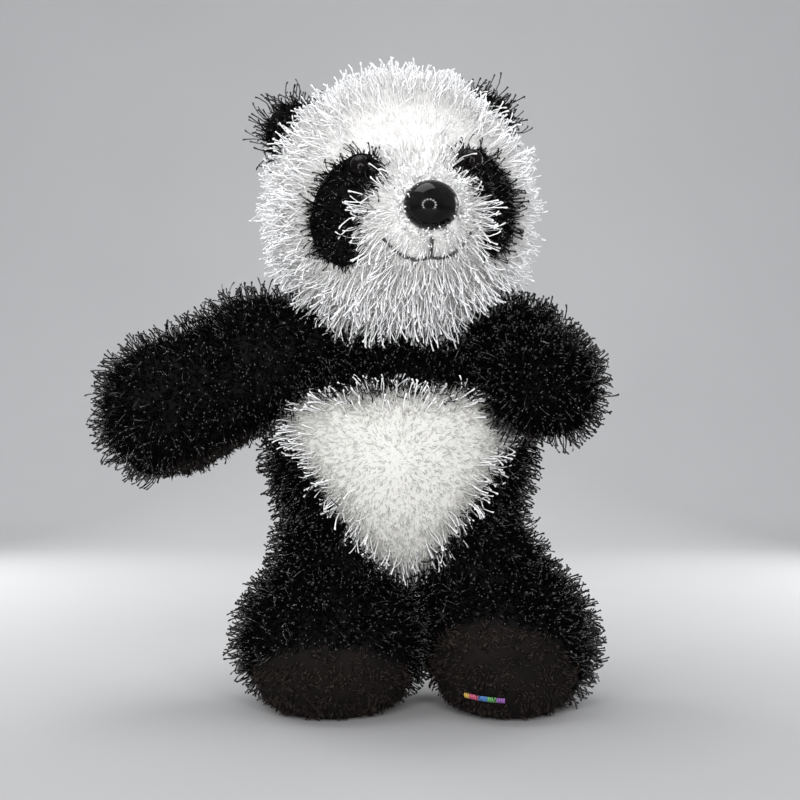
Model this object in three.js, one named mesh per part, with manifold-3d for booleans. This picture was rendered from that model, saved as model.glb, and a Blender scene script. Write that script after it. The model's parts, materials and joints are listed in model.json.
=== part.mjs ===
// Plush toy on a key ring: a standing bear cub of long-pile fabric with a snap hook and split ring.
// Millimetres, +Z up, the face looks along -Y. All covers are thin shells around their own filling.
import * as THREE from 'three';
import { mergeVertices } from 'three/addons/utils/BufferGeometryUtils.js';
import Module from 'manifold-3d';

const wasm = await Module();
wasm.setup();

// ---------------------------------------------------------------- driving dimensions
const coverThickness = 1.6; // backing cloth with the roots of its pile
const fillingGap = 0.4; // between a cover and its filling
const seamGap = 0.3; // between two sewn pieces
const jointGap = 1.5; // between a limb and the torso at any angle, wide enough for the flats of both
const limbOpening = 6; // radius of the hole in a limb's cover at its joint
const through = 60; // length of a cutting rod that passes right through a cover

const head = {
  centre: new THREE.Vector3(0, -1, 139.7),
  radii: new THREE.Vector3(33.5, 31.5, 34.5),
  turn: 11, // degrees that the face is turned to +X
  roll: 5, // degrees that the +X side of the head is raised
  seamY: 3, // plane of the seam that runs over the head through both ears
  neckOpening: 10,
};
const muzzle = {
  centre: new THREE.Vector3(0, -24, -6.2),
  radii: new THREE.Vector3(15.5, 13, 14.5),
};
const nose = { centre: new THREE.Vector3(0, -39.6, -3.8), radii: new THREE.Vector3(7.1, 6.2, 6.4) };
const stalk = { noseRadius: 1.4, noseLength: 15, eyeRadius: 0.9, eyeLength: 7 };
const noseWasher = { radius: 5, thickness: 1.4, fromEnd: 2.5 };
const eyeWasher = { radius: 3.2, thickness: 1, behindCover: 1.6 };
const mouth = { radius: 0.45, knot: 1.25 };
const eye = { azimuth: 29, elevation: 16, radius: 3, lift: 1 };
const patch = {
  azimuth: 40,
  elevation: -3,
  halfWidth: 11,
  halfHeight: 15.5,
  narrow: 0.08, // share of the width that the top loses and the bottom gains
  tilt: 30,
  thickness: 1.3,
};
const ear = { azimuth: 96, elevation: 41, radius: 9, thickness: 3.4, lift: 1.5, twist: 0.35 };

const torso = {
  centre: new THREE.Vector3(0, 0, 71.5),
  radii: new THREE.Vector3(34.5, 25.5, 33.5),
  neckOpening: 9,
  pelletsTop: 79,
  pelletsBottom: 64,
  waist: 83.5, // height of the seam between the chest and the hip pieces
};
const crotch = { x: -3, width: 16, height: 12 };
const belly = {
  middle: new THREE.Vector2(-1, 68),
  leftTop: [-36, 83.5],
  topBow: [4, 93],
  rightTop: [34, 83.5],
  rightBow: [18, 58],
  rightTip: [3.5, 36],
  leftTip: [-4, 36],
  leftBow: [-16, 62],
};
const tail = { centre: new THREE.Vector3(0, 22, 52), radii: new THREE.Vector3(6.5, 5.5, 6.5) };
const label = { centre: new THREE.Vector3(10.5, 20.8, 41), width: 10, thickness: 0.6, height: 13 };
const neckThread = { height: 104.6, radius: 9, thickness: 0.9 };

const arm = {
  rootRadius: 13.5,
  shoulder: new THREE.Vector3(30, 0, 99),
  lower: 12,
  palmDepth: 0.72, // share of the hand's radius at which the palm pad's seam runs
};
const arms = [
  { side: 'left', sign: -1, toHand: new THREE.Vector3(-33, -8, -15), handRadius: 18 },
  { side: 'right', sign: 1, toHand: new THREE.Vector3(9, -20, -9.5), handRadius: 12.5 },
];

const hipHeight = 47;
const leg = { rootRadius: 15.5, ankleRadius: 15.5, forward: 35, backward: 10 };
const foot = { length: 26, tall: 22, height: 18, y: -0.8 };
const legs = [
  { side: 'left', hipX: -16, footX: -19, footWidth: 24, soleTilt: 32, soleLean: 0, soleDepth: 10.5 },
  { side: 'right', hipX: 18, footX: 30, footWidth: 21.5, soleTilt: 42, soleLean: 18, soleDepth: 9.5 },
];
const pelletLine = 15; // height of the top of the pellets in each foot
const stitchBar = { below: 64, azimuth: -20, halfSpan: 16, lift: 0.8, radius: 0.5 };

const ribbon = { width: 8, thickness: 1.2, reach: 15.5, holeLength: 8, below: -9, inside: 4 };
const ribbonSlit = { clearance: 1, depth: 14, height: 4.4, inward: 3.5 };
const eyeFrame = {
  width: 14.4,
  barThickness: 2.4,
  depth: 2.6,
  holeWidth: 9.6,
  holeHeight: 8,
  plate: 3,
  corner: 2, // bevel of the hole and of the frame's sides
  taper: 3.5, // how far the bottom edge is narrower on each side
  barrel: 3,
};
const hook = {
  width: 13,
  length: 25,
  wire: 3,
  depth: 4,
  bevel: 0.9,
  neck: 2.6, // half width of the flat top under the swivel
  shoulder: 5, // depth of the rounded shoulders
  mouthTop: 5.6, // where the gate's side of the bar ends
  stemRadius: 1.2,
  stemLength: 5.6,
  knobRadius: 2.1,
  knobHeight: 1.6,
};
const gate = {
  pinRadius: 0.5,
  pinHole: 0.8,
  pinDown: 4.2,
  pinHead: 0.5,
  pinHeadRadius: 1.2,
  slot: 2.4, // width of the slot in the hook for the tongue
  slotLength: 9,
  slotHeight: 4.8,
  thickness: 2.4,
  depth: 2.8,
  tongue: 0.9,
  tongueEnd: 1.5,
  tongueLength: 4,
  barTop: 2.9,
};
const spring = { radius: 1.4, length: 0.6, beside: 0.6 };
const ring = { outerRadius: 14, wire: 1.8, turnThickness: 1.15, turnGap: 0.3, slack: 1 };

// ---------------------------------------------------------------- materials
function material(color, roughness, metalness = 0) {
  return new THREE.MeshStandardMaterial({ color, roughness, metalness });
}
const whitePile = material(0xf1f1ee, 0.8);
const blackPile = material(0x0d0c0d, 0.75);
const soleVelour = material(0x171415, 0.95);
const glossyPlastic = material(0x050505, 0.08);
const eyePlastic = material(0x1a0d08, 0.1);
const clearPlastic = material(0xe4e4dc, 0.4);
const blackThread = material(0x0a0a0a, 0.7);
const barThread = material(0xc8a34a, 0.6);
const fibreFill = material(0xf6f6f4, 0.95);
const pelletFill = material(0xe9e4d8, 0.7);
const ribbonCloth = material(0x141414, 0.8);
const labelCloth = material(0xf4f4f2, 0.7);
const nickel = material(0xc9c9c6, 0.25, 1);
const springSteel = material(0x9a9a98, 0.35, 1);

// ---------------------------------------------------------------- solids
const rad = THREE.MathUtils.degToRad;

// Welds the shared vertices and drops the triangles that have no area at a pole.
function weld(geometry) {
  const bare = geometry.clone();
  bare.deleteAttribute('normal');
  bare.deleteAttribute('uv');
  const welded = mergeVertices(bare, 1e-4);
  const kept = [];
  const index = welded.index.array;
  for (let i = 0; i < index.length; i += 3) {
    const [a, b, c] = [index[i], index[i + 1], index[i + 2]];
    if (a !== b && b !== c && c !== a) kept.push(a, b, c);
  }
  welded.setIndex(kept);
  return welded;
}

function toManifold(geometry) {
  const welded = weld(geometry);
  return new wasm.Manifold(new wasm.Mesh({
    numProp: 3,
    vertProperties: new Float32Array(welded.attributes.position.array),
    triVerts: new Uint32Array(welded.index.array),
  }));
}

function toGeometry(manifold) {
  const mesh = manifold.getMesh();
  const geometry = new THREE.BufferGeometry();
  geometry.setAttribute('position', new THREE.BufferAttribute(mesh.vertProperties, 3));
  geometry.setIndex(new THREE.BufferAttribute(mesh.triVerts, 1));
  return geometry;
}

function cut(body, ...tools) {
  let result = toManifold(body);
  for (const tool of tools) result = result.subtract(toManifold(tool));
  return toGeometry(result);
}

function join(first, ...others) {
  let result = toManifold(first);
  for (const other of others) result = result.add(toManifold(other));
  return toGeometry(result);
}

function common(first, ...others) {
  let result = toManifold(first);
  for (const other of others) result = result.intersect(toManifold(other));
  return toGeometry(result);
}

function at(geometry, place) {
  return geometry.clone().translate(place.x, place.y, place.z);
}

// Turns the geometry's +Y axis to the direction and moves its origin to the place.
function aim(geometry, direction, place = new THREE.Vector3()) {
  const up = new THREE.Vector3(0, 1, 0);
  const turn = new THREE.Quaternion().setFromUnitVectors(up, direction.clone().normalize());
  return at(geometry.clone().applyQuaternion(turn), place);
}

// ------------------------------------------------------ plain shapes
function ellipsoid(radii, grow = 0, around = 18, rows = 10) {
  const ball = new THREE.SphereGeometry(1, around, rows).rotateX(Math.PI / 2);
  return ball.scale(radii.x + grow, radii.y + grow, radii.z + grow);
}

function sphere(radius, around = 14, rows = 8) {
  return ellipsoid(new THREE.Vector3(radius, radius, radius), 0, around, rows);
}

// A rod along +Y that starts at the origin.
function rod(radius, length, sides = 12) {
  return new THREE.CylinderGeometry(radius, radius, length, sides).translate(0, length / 2, 0);
}

function block(width, depth, height, place) {
  return at(new THREE.BoxGeometry(width, depth, height), place);
}

// All of space that lies on the side of the plane that the normal points to.
function halfSpace(point, normal) {
  const size = 400;
  const slab = new THREE.BoxGeometry(size, size, size).translate(0, size / 2, 0);
  return aim(slab, normal, point);
}

// A washer around +Y, centred on the origin.
function washer(innerRadius, outerRadius, thickness, sides = 16) {
  const half = thickness / 2;
  const profile = [
    new THREE.Vector2(innerRadius, -half),
    new THREE.Vector2(outerRadius, -half),
    new THREE.Vector2(outerRadius, half),
    new THREE.Vector2(innerRadius, half),
    new THREE.Vector2(innerRadius, -half),
  ];
  return new THREE.LatheGeometry(profile, sides);
}

// Two balls and their common tangent cone around +Y, the first ball at the origin.
function limb(rootRadius, endRadius, length, around = 16, rows = 4) {
  const slope = Math.asin((rootRadius - endRadius) / length);
  const profile = [];
  for (let i = 0; i <= rows; i += 1) {
    const angle = -Math.PI / 2 + (slope + Math.PI / 2) * (i / rows);
    profile.push(new THREE.Vector2(rootRadius * Math.cos(angle), rootRadius * Math.sin(angle)));
  }
  for (let i = 0; i <= rows; i += 1) {
    const angle = slope + (Math.PI / 2 - slope) * (i / rows);
    profile.push(new THREE.Vector2(endRadius * Math.cos(angle), length + endRadius * Math.sin(angle)));
  }
  profile[0].x = 0;
  profile[profile.length - 1].x = 0;
  return new THREE.LatheGeometry(profile, around);
}

// A round thread or wire that follows the curve.
function wire(curve, radius, sides, steps) {
  const section = new THREE.Shape();
  for (let i = 0; i < sides; i += 1) {
    const angle = (2 * Math.PI * i) / sides;
    const corner = [radius * Math.cos(angle), radius * Math.sin(angle)];
    if (i === 0) section.moveTo(...corner);
    else section.lineTo(...corner);
  }
  return new THREE.ExtrudeGeometry(section, { steps, extrudePath: curve, curveSegments: 1 });
}

// A flat outline pushed along +Z, centred on its own thickness.
function plate(shape, thickness, curveSegments = 8) {
  const options = { depth: thickness, bevelEnabled: false, curveSegments };
  return new THREE.ExtrudeGeometry(shape, options).translate(0, 0, -thickness / 2);
}

// ---------------------------------------------------------------- scene graph
const toy = new THREE.Group();

function piece(parent, name, geometry, look) {
  const mesh = new THREE.Mesh(weld(geometry), look);
  mesh.name = name;
  parent.add(mesh);
  return mesh;
}

// ---------------------------------------------------------------- head, in its own turned frame
const headGroup = new THREE.Group();
headGroup.position.copy(head.centre);
headGroup.rotation.set(0, rad(-head.roll), rad(head.turn), 'ZYX');
toy.add(headGroup);

// Point and outward direction on the head, azimuth from the face towards +X.
function onHead(azimuth, elevation, lift = 0) {
  const flat = Math.cos(rad(elevation));
  const direction = new THREE.Vector3(
    Math.sin(rad(azimuth)) * flat,
    -Math.cos(rad(azimuth)) * flat,
    Math.sin(rad(elevation)),
  );
  const { x, y, z } = head.radii;
  const reach = 1 / Math.hypot(direction.x / x, direction.y / y, direction.z / z);
  const point = direction.clone().multiplyScalar(reach);
  const normal = new THREE.Vector3(point.x / x ** 2, point.y / y ** 2, point.z / z ** 2).normalize();
  return { point: point.addScaledVector(normal, lift), normal };
}

// The outside of the head, grown or shrunk.
function headSolid(grow = 0) {
  return ellipsoid(head.radii, grow, 20, 12);
}

// A washer around its shank or, when grown, the full disc of room that it needs.
function washerOrRoom(size, shankRadius, grow) {
  if (grow === 0) return washer(shankRadius + seamGap, size.radius, size.thickness, 12);
  const half = size.thickness / 2 + grow;
  return rod(size.radius + grow, 2 * half).translate(0, -half, 0);
}

function noseShape(grow = 0) {
  const ball = at(ellipsoid(nose.radii, grow, 16, 10), nose.centre);
  const inward = new THREE.Vector3(0, 1, 0);
  return join(ball, aim(rod(stalk.noseRadius + grow, stalk.noseLength + grow, 8), inward, nose.centre));
}

function noseWasherShape(grow = 0) {
  const place = nose.centre.clone();
  place.y += stalk.noseLength - noseWasher.fromEnd;
  return at(washerOrRoom(noseWasher, stalk.noseRadius, grow), place);
}

function eyeSpot(sign) {
  return onHead(sign * eye.azimuth, eye.elevation, eye.lift);
}

function eyeShape(sign, grow = 0) {
  const { point, normal } = eyeSpot(sign);
  const inward = normal.clone().negate();
  const shank = aim(rod(stalk.eyeRadius + grow, stalk.eyeLength + grow, 6), inward, point);
  return join(at(sphere(eye.radius + grow, 12, 8), point), shank);
}

function eyeWasherShape(sign, grow = 0) {
  const { point, normal } = eyeSpot(sign);
  const depth = eye.lift + coverThickness + eyeWasher.behindCover;
  const place = point.clone().addScaledVector(normal, -depth);
  return aim(washerOrRoom(eyeWasher, stalk.eyeRadius, grow), normal, place);
}

function muzzleSolid(grow = 0, around = 18, rows = 10) {
  return at(ellipsoid(muzzle.radii, grow, around, rows), muzzle.centre);
}

function muzzlePoint(azimuth, elevation, lift) {
  const flat = Math.cos(rad(elevation));
  return new THREE.Vector3(
    (muzzle.radii.x + lift) * Math.sin(rad(azimuth)) * flat,
    -(muzzle.radii.y + lift) * Math.cos(rad(azimuth)) * flat,
    (muzzle.radii.z + lift) * Math.sin(rad(elevation)),
  ).add(muzzle.centre);
}

// Drop-shaped outline that is narrower at its top.
function patchOutline() {
  const shape = new THREE.Shape();
  const corners = 14;
  for (let i = 0; i < corners; i += 1) {
    const angle = (2 * Math.PI * i) / corners;
    const widen = 1 - patch.narrow * Math.cos(angle);
    const corner = [patch.halfWidth * widen * Math.sin(angle), patch.halfHeight * Math.cos(angle)];
    if (i === 0) shape.moveTo(...corner);
    else shape.lineTo(...corner);
  }
  return shape;
}

function patchShape(sign) {
  const { normal } = onHead(sign * patch.azimuth, patch.elevation);
  const prism = plate(patchOutline(), 40).translate(0, 0, 32);
  prism.rotateZ(rad(sign * patch.tilt)).rotateX(Math.PI / 2);
  prism.rotateX(rad(-patch.elevation)).rotateZ(Math.atan2(normal.x, -normal.y));
  const layer = cut(headSolid(seamGap + patch.thickness), headSolid(seamGap));
  return cut(common(layer, prism), muzzleSolid(seamGap), eyeShape(sign, seamGap));
}

function earShape(sign) {
  const { point, normal } = onHead(sign * ear.azimuth, ear.elevation, ear.lift);
  const disc = ellipsoid(new THREE.Vector3(ear.radius, ear.thickness, ear.radius), 0, 14, 8);
  if (sign > 0) disc.rotateZ(Math.atan2(normal.y, normal.x) * ear.twist);
  return cut(at(disc, point), headSolid(seamGap));
}

function mouthShape() {
  const lift = seamGap + mouth.radius;
  const fork = muzzlePoint(0, -46, lift);
  const drop = new THREE.CatmullRomCurve3([
    muzzlePoint(0, -24, lift),
    muzzlePoint(0, -35, lift),
    fork,
  ]);
  const smile = (sign) => new THREE.CatmullRomCurve3([
    fork,
    muzzlePoint(sign * 22, -47, lift),
    muzzlePoint(sign * 42, -36, lift),
    muzzlePoint(sign * 55, -17, lift),
  ]);
  const clear = at(ellipsoid(nose.radii, seamGap, 16, 10), nose.centre);
  const threads = [-1, 1].map((sign) => wire(smile(sign), mouth.radius, 5, 9));
  const knot = at(sphere(mouth.radius * mouth.knot, 6, 4), fork);
  return cut(join(wire(drop, mouth.radius, 5, 5), knot, ...threads), clear);
}

const neckAxis = new THREE.Vector3(0, 0, -1);

// The slit in the back of the head that the two ends of the ribbon pass through.
const slitPlace = new THREE.Vector3(0, head.radii.y - ribbonSlit.inward, ribbon.below);
const slitWidth = ribbon.width + 2 * ribbonSlit.clearance;
const slit = block(slitWidth, ribbonSlit.depth, ribbonSlit.height, slitPlace);

const forward = new THREE.Vector3(0, -1, 0);

function headCovers() {
  const shell = cut(
    headSolid(),
    ellipsoid(head.radii, -coverThickness, 16, 10),
    aim(rod(head.neckOpening, through, 14), neckAxis),
    aim(rod(stalk.noseRadius + seamGap, through, 8), forward, new THREE.Vector3(0, 0, nose.centre.z)),
    eyeShape(-1, seamGap),
    eyeShape(1, seamGap),
    slit,
  );
  const seam = (offset, way) => halfSpace(
    new THREE.Vector3(0, head.seamY + offset, 0),
    new THREE.Vector3(0, way, 0),
  );
  piece(headGroup, 'head_cover_front', cut(shell, seam(-seamGap / 2, 1)), whitePile);
  piece(headGroup, 'head_cover_back', cut(shell, seam(seamGap / 2, -1)), whitePile);
}

function headFilling() {
  const filling = ellipsoid(head.radii, -coverThickness - 3 * fillingGap, 14, 9);
  const bottom = halfSpace(new THREE.Vector3(0, 0, -head.radii.z + 4), neckAxis);
  const pockets = [
    noseWasherShape(fillingGap),
    noseShape(fillingGap),
    eyeShape(-1, fillingGap),
    eyeShape(1, fillingGap),
    eyeWasherShape(-1, fillingGap),
    eyeWasherShape(1, fillingGap),
    slit,
  ];
  piece(headGroup, 'head_stuffing', cut(filling, bottom, ...pockets), fibreFill);
}

function muzzlePieces() {
  const headOuter = headSolid(seamGap);
  const cover = cut(muzzleSolid(), muzzleSolid(-coverThickness, 14, 8), headOuter, noseShape(seamGap));
  piece(headGroup, 'muzzle_cover', cover, whitePile);
  const filling = cut(muzzleSolid(-coverThickness - 2 * fillingGap, 12, 7), headOuter, noseShape(fillingGap));
  piece(headGroup, 'muzzle_stuffing', filling, fibreFill);
}

function facePieces() {
  piece(headGroup, 'nose', noseShape(), glossyPlastic);
  piece(headGroup, 'nose_washer', noseWasherShape(), clearPlastic);
  piece(headGroup, 'mouth_thread', mouthShape(), blackThread);
  for (const [side, sign] of [['left', -1], ['right', 1]]) {
    piece(headGroup, `eye_patch_${side}`, patchShape(sign), blackPile);
    piece(headGroup, `eye_${side}`, eyeShape(sign), eyePlastic);
    piece(headGroup, `eye_washer_${side}`, eyeWasherShape(sign), clearPlastic);
    piece(headGroup, `ear_${side}`, earShape(sign), blackPile);
  }
}

headCovers();
headFilling();
muzzlePieces();
facePieces();

// ---------------------------------------------------------------- limbs
function armAxis(spec) {
  return spec.toHand.clone().normalize();
}

function armPlace(spec) {
  return new THREE.Vector3(spec.sign * arm.shoulder.x, arm.shoulder.y, arm.shoulder.z);
}

// The outside of an arm, grown or shrunk, raised about the shoulder by an angle in degrees.
function armSolid(spec, grow = 0, raised = 0, around = 14) {
  const shape = limb(arm.rootRadius + grow, spec.handRadius + grow, spec.toHand.length(), around);
  const hinge = armAxis(spec).cross(new THREE.Vector3(0, 0, 1)).normalize();
  const turn = new THREE.Quaternion().setFromAxisAngle(hinge, rad(raised));
  return at(aim(shape, armAxis(spec)).applyQuaternion(turn), armPlace(spec));
}

// The space below a plane that cuts the palm pad off the underside of the hand.
function palmSpace(spec, offset) {
  const along = armAxis(spec);
  const normal = new THREE.Vector3(0, 0, -1).addScaledVector(along, along.z).normalize();
  const hand = armPlace(spec).add(spec.toHand);
  return halfSpace(hand.addScaledVector(normal, arm.palmDepth * spec.handRadius + offset), normal);
}

function armPieces(spec) {
  const opening = aim(rod(limbOpening, through, 8), armAxis(spec).negate(), armPlace(spec));
  const shell = cut(armSolid(spec), armSolid(spec, -coverThickness, 0, 10), opening);
  piece(toy, `arm_cover_${spec.side}`, cut(shell, palmSpace(spec, 0)), blackPile);
  piece(toy, `palm_pad_${spec.side}`, common(shell, palmSpace(spec, seamGap)), soleVelour);
  piece(toy, `arm_stuffing_${spec.side}`, armSolid(spec, -coverThickness - 2 * fillingGap, 0, 10), fibreFill);
}

function hipPlace(spec) {
  return new THREE.Vector3(spec.hipX, 0, hipHeight);
}

function footPlace(spec) {
  return new THREE.Vector3(spec.footX, foot.y, foot.height);
}

function footRadii(spec) {
  return new THREE.Vector3(spec.footWidth, foot.length, foot.tall);
}

// The outside of a leg, grown or shrunk, swung forward about the hip by an angle in degrees.
function legSolid(spec, grow = 0, forward = 0, around = 14) {
  const down = footPlace(spec).sub(hipPlace(spec));
  const thigh = limb(leg.rootRadius + grow, leg.ankleRadius + grow, down.length(), around, 3);
  const ball = at(ellipsoid(footRadii(spec), grow, around, 8), down);
  const floorHeight = -hipHeight - grow;
  const floor = halfSpace(new THREE.Vector3(0, 0, floorHeight), new THREE.Vector3(0, 0, -1));
  const upright = cut(join(aim(thigh, down), ball), floor);
  return at(upright.rotateX(rad(-forward)), hipPlace(spec));
}

function soleSpace(spec, offset) {
  const normal = new THREE.Vector3(0, -Math.sin(rad(spec.soleTilt)), -Math.cos(rad(spec.soleTilt)));
  normal.applyAxisAngle(new THREE.Vector3(0, 1, 0), rad(spec.soleLean));
  return halfSpace(footPlace(spec).addScaledVector(normal, spec.soleDepth + offset), normal);
}

function legPieces(spec) {
  const opening = rod(limbOpening, through, 8).rotateX(Math.PI / 2);
  const shell = cut(legSolid(spec), legSolid(spec, -coverThickness, 0, 12), at(opening, hipPlace(spec)));
  piece(toy, `leg_cover_${spec.side}`, cut(shell, soleSpace(spec, 0)), blackPile);
  piece(toy, `sole_pad_${spec.side}`, common(shell, soleSpace(spec, seamGap)), soleVelour);
  const filling = legSolid(spec, -coverThickness - 2 * fillingGap, 0, 12);
  const above = halfSpace(new THREE.Vector3(0, 0, pelletLine), new THREE.Vector3(0, 0, 1));
  const below = halfSpace(new THREE.Vector3(0, 0, pelletLine + seamGap), new THREE.Vector3(0, 0, -1));
  piece(toy, `leg_stuffing_${spec.side}`, cut(filling, below), fibreFill);
  piece(toy, `foot_pellets_${spec.side}`, cut(filling, above), pelletFill);
}

for (const spec of arms) armPieces(spec);
for (const spec of legs) legPieces(spec);

// ---------------------------------------------------------------- torso
// Everything that the limbs pass through as they swing, with the joint's gap.
function limbRoom() {
  const room = [];
  for (const spec of arms) {
    for (const raised of [-arm.lower, 0]) room.push(armSolid(spec, jointGap, raised, 10));
  }
  for (const spec of legs) {
    for (const forward of [-leg.backward, leg.forward / 3, leg.forward]) {
      room.push(legSolid(spec, jointGap, forward, 10));
    }
  }
  return join(...room);
}

function torsoSolid(grow = 0) {
  return at(ellipsoid(torso.radii, grow, 18, 11), torso.centre);
}

// Upside-down triangle with a bowed top edge, in (x, z).
function bellyOutline(scale = 1) {
  const { middle } = belly;
  const place = ([x, z]) => [middle.x + (x - middle.x) * scale, middle.y + (z - middle.y) * scale];
  const shape = new THREE.Shape();
  shape.moveTo(...place(belly.leftTop));
  shape.quadraticCurveTo(...place(belly.topBow), ...place(belly.rightTop));
  shape.quadraticCurveTo(...place(belly.rightBow), ...place(belly.rightTip));
  shape.lineTo(...place(belly.leftTip));
  shape.quadraticCurveTo(...place(belly.leftBow), ...place(belly.leftTop));
  return shape;
}

function bellyPrism(scale = 1) {
  return plate(bellyOutline(scale), 60, 6).rotateX(Math.PI / 2).translate(0, -36, 0);
}

// The side of a level plane at this height, above it or below it.
function over(height) {
  return halfSpace(new THREE.Vector3(0, 0, height), new THREE.Vector3(0, 0, 1));
}

function under(height) {
  return halfSpace(new THREE.Vector3(0, 0, height), new THREE.Vector3(0, 0, -1));
}

function torsoPieces() {
  const room = limbRoom();
  const shell = cut(
    torsoSolid(),
    at(ellipsoid(torso.radii, -coverThickness, 14, 9), torso.centre),
    aim(rod(torso.neckOpening, through, 14), new THREE.Vector3(0, 0, 1), torso.centre),
    room,
  );
  const half = seamGap / 2;
  const behind = halfSpace(new THREE.Vector3(0, -half, 0), new THREE.Vector3(0, 1, 0));
  const before = halfSpace(new THREE.Vector3(0, half, 0), new THREE.Vector3(0, -1, 0));
  const front = cut(shell, behind);
  const black = cut(front, bellyPrism(1 + seamGap / 15));
  const lowest = new THREE.Vector3(crotch.x, 0, torso.centre.z - torso.radii.z);
  const hips = cut(black, over(torso.waist - half), block(crotch.width, through, crotch.height, lowest));
  const rightOf = halfSpace(new THREE.Vector3(crotch.x - half, 0, 0), new THREE.Vector3(1, 0, 0));
  const leftOf = halfSpace(new THREE.Vector3(crotch.x + half, 0, 0), new THREE.Vector3(-1, 0, 0));
  piece(toy, 'chest_cover', cut(black, under(torso.waist + half)), blackPile);
  piece(toy, 'hip_cover_left', cut(hips, rightOf), blackPile);
  piece(toy, 'hip_cover_right', cut(hips, leftOf), blackPile);
  piece(toy, 'belly_panel', common(front, bellyPrism()), whitePile);
  piece(toy, 'torso_cover_back', cut(shell, before), blackPile);

  const filling = cut(at(ellipsoid(torso.radii, -coverThickness - 3 * fillingGap, 14, 9), torso.centre), room);
  const top = torso.centre.z + torso.radii.z - 4;
  piece(toy, 'torso_stuffing', cut(filling, under(torso.pelletsTop + seamGap), over(top)), fibreFill);
  piece(toy, 'pellet_bag', cut(filling, over(torso.pelletsTop), under(torso.pelletsBottom)), pelletFill);
}

function neckPiece() {
  const tube = new THREE.TorusGeometry(neckThread.radius, neckThread.thickness / 2, 6, 18);
  piece(toy, 'neck_seam_thread', tube.translate(0, 0, neckThread.height), blackThread);
}

function tailAndLabel() {
  const ball = at(ellipsoid(tail.radii, 0, 14, 9), tail.centre);
  piece(toy, 'tail', cut(ball, torsoSolid(seamGap)), blackPile);
  piece(toy, 'care_label', block(label.width, label.thickness, label.height, label.centre), labelCloth);
}

torsoPieces();
neckPiece();
tailAndLabel();

// ---------------------------------------------------------------- stitched bar on the right sole
function soleBar() {
  const spec = legs[1];
  const below = rad(stitchBar.below);
  const middle = new THREE.Vector3(0, -Math.sin(below), -Math.cos(below));
  const centre = footPlace(spec);
  const points = [];
  for (const across of [-1, -0.5, 0, 0.5, 1]) {
    const turn = rad(stitchBar.azimuth + across * stitchBar.halfSpan);
    const ray = middle.clone().applyAxisAngle(new THREE.Vector3(0, 0, 1), turn);
    const { x, y, z } = footRadii(spec);
    const reach = 1 / Math.hypot(ray.x / x, ray.y / y, ray.z / z);
    points.push(centre.clone().addScaledVector(ray, reach + stitchBar.lift));
  }
  return wire(new THREE.CatmullRomCurve3(points), stitchBar.radius, 6, 10);
}
piece(toy, 'sole_stitch_bar', soleBar(), barThread);

// ---------------------------------------------------------------- ribbon, snap hook and ring
// Their frame has its origin at the bar of the swivel eye, X along the bar and Y away from the head.
const hookGroup = new THREE.Group();
const barReach = head.radii.y + ribbon.reach - ribbon.thickness - 2;
const barPlace = new THREE.Vector3(0, barReach, ribbon.below);
hookGroup.position.copy(head.centre).add(barPlace.applyAxisAngle(new THREE.Vector3(0, 0, 1), rad(head.turn)));
hookGroup.rotation.z = rad(head.turn);
toy.add(hookGroup);

function ribbonShape() {
  const inner = Math.hypot(eyeFrame.barThickness, eyeFrame.depth) / 2 + seamGap;
  const outer = inner + ribbon.thickness;
  const start = -(ribbon.reach + ribbon.inside);
  const stitched = -ribbon.holeLength - 2;
  const shape = new THREE.Shape();
  shape.moveTo(start, -ribbon.thickness);
  shape.lineTo(stitched, -ribbon.thickness);
  shape.lineTo(0, -outer);
  shape.absarc(0, 0, outer, -Math.PI / 2, Math.PI / 2, false);
  shape.lineTo(stitched, ribbon.thickness);
  shape.lineTo(start, ribbon.thickness);
  const hole = new THREE.Path();
  hole.moveTo(-ribbon.holeLength, 0);
  hole.lineTo(0, -inner);
  hole.absarc(0, 0, inner, -Math.PI / 2, Math.PI / 2, false);
  shape.holes.push(hole);
  return standing(shape, ribbon.width);
}

function eyeFrameShape() {
  const half = eyeFrame.width / 2;
  const top = eyeFrame.barThickness / 2;
  const bottom = -top - eyeFrame.holeHeight;
  const { corner, taper } = eyeFrame;
  const shape = new THREE.Shape();
  shape.moveTo(-half, top);
  shape.lineTo(-half, bottom + corner);
  shape.lineTo(-half + taper, bottom - eyeFrame.plate);
  shape.lineTo(half - taper, bottom - eyeFrame.plate);
  shape.lineTo(half, bottom + corner);
  shape.lineTo(half, top);
  const hole = new THREE.Path();
  const side = eyeFrame.holeWidth / 2;
  hole.moveTo(-side, -top);
  hole.lineTo(-side, bottom + corner);
  hole.lineTo(-side + corner, bottom);
  hole.lineTo(side - corner, bottom);
  hole.lineTo(side, bottom + corner);
  hole.lineTo(side, -top);
  shape.holes.push(hole);
  const frame = plate(shape, eyeFrame.depth).rotateX(Math.PI / 2);
  const holeFloor = new THREE.Vector3(0, 0, bottom);
  const barrel = at(rod(eyeFrame.barrel, eyeFrame.plate, 14).rotateX(-Math.PI / 2), holeFloor);
  const bore = at(rod(hook.stemRadius + seamGap, through, 14).rotateX(-Math.PI / 2), holeFloor);
  return cut(join(frame, barrel), bore.translate(0, 0, seamGap));
}

const eyeBottom = -eyeFrame.barThickness / 2 - eyeFrame.holeHeight;
const hookTop = eyeBottom - eyeFrame.plate - seamGap;

// An outline in (Y, Z) pushed along X.
function standing(shape, thickness, curveSegments = 6) {
  return plate(shape, thickness, curveSegments).rotateY(Math.PI / 2).rotateX(Math.PI / 2);
}

// Open hook in the YZ plane: its back is at -Y, its mouth faces +Y and the gate closes it.
const hookHalf = hook.width / 2;
const hookBend = hook.length - hookHalf;
const hookInside = hookHalf - hook.wire;

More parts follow.
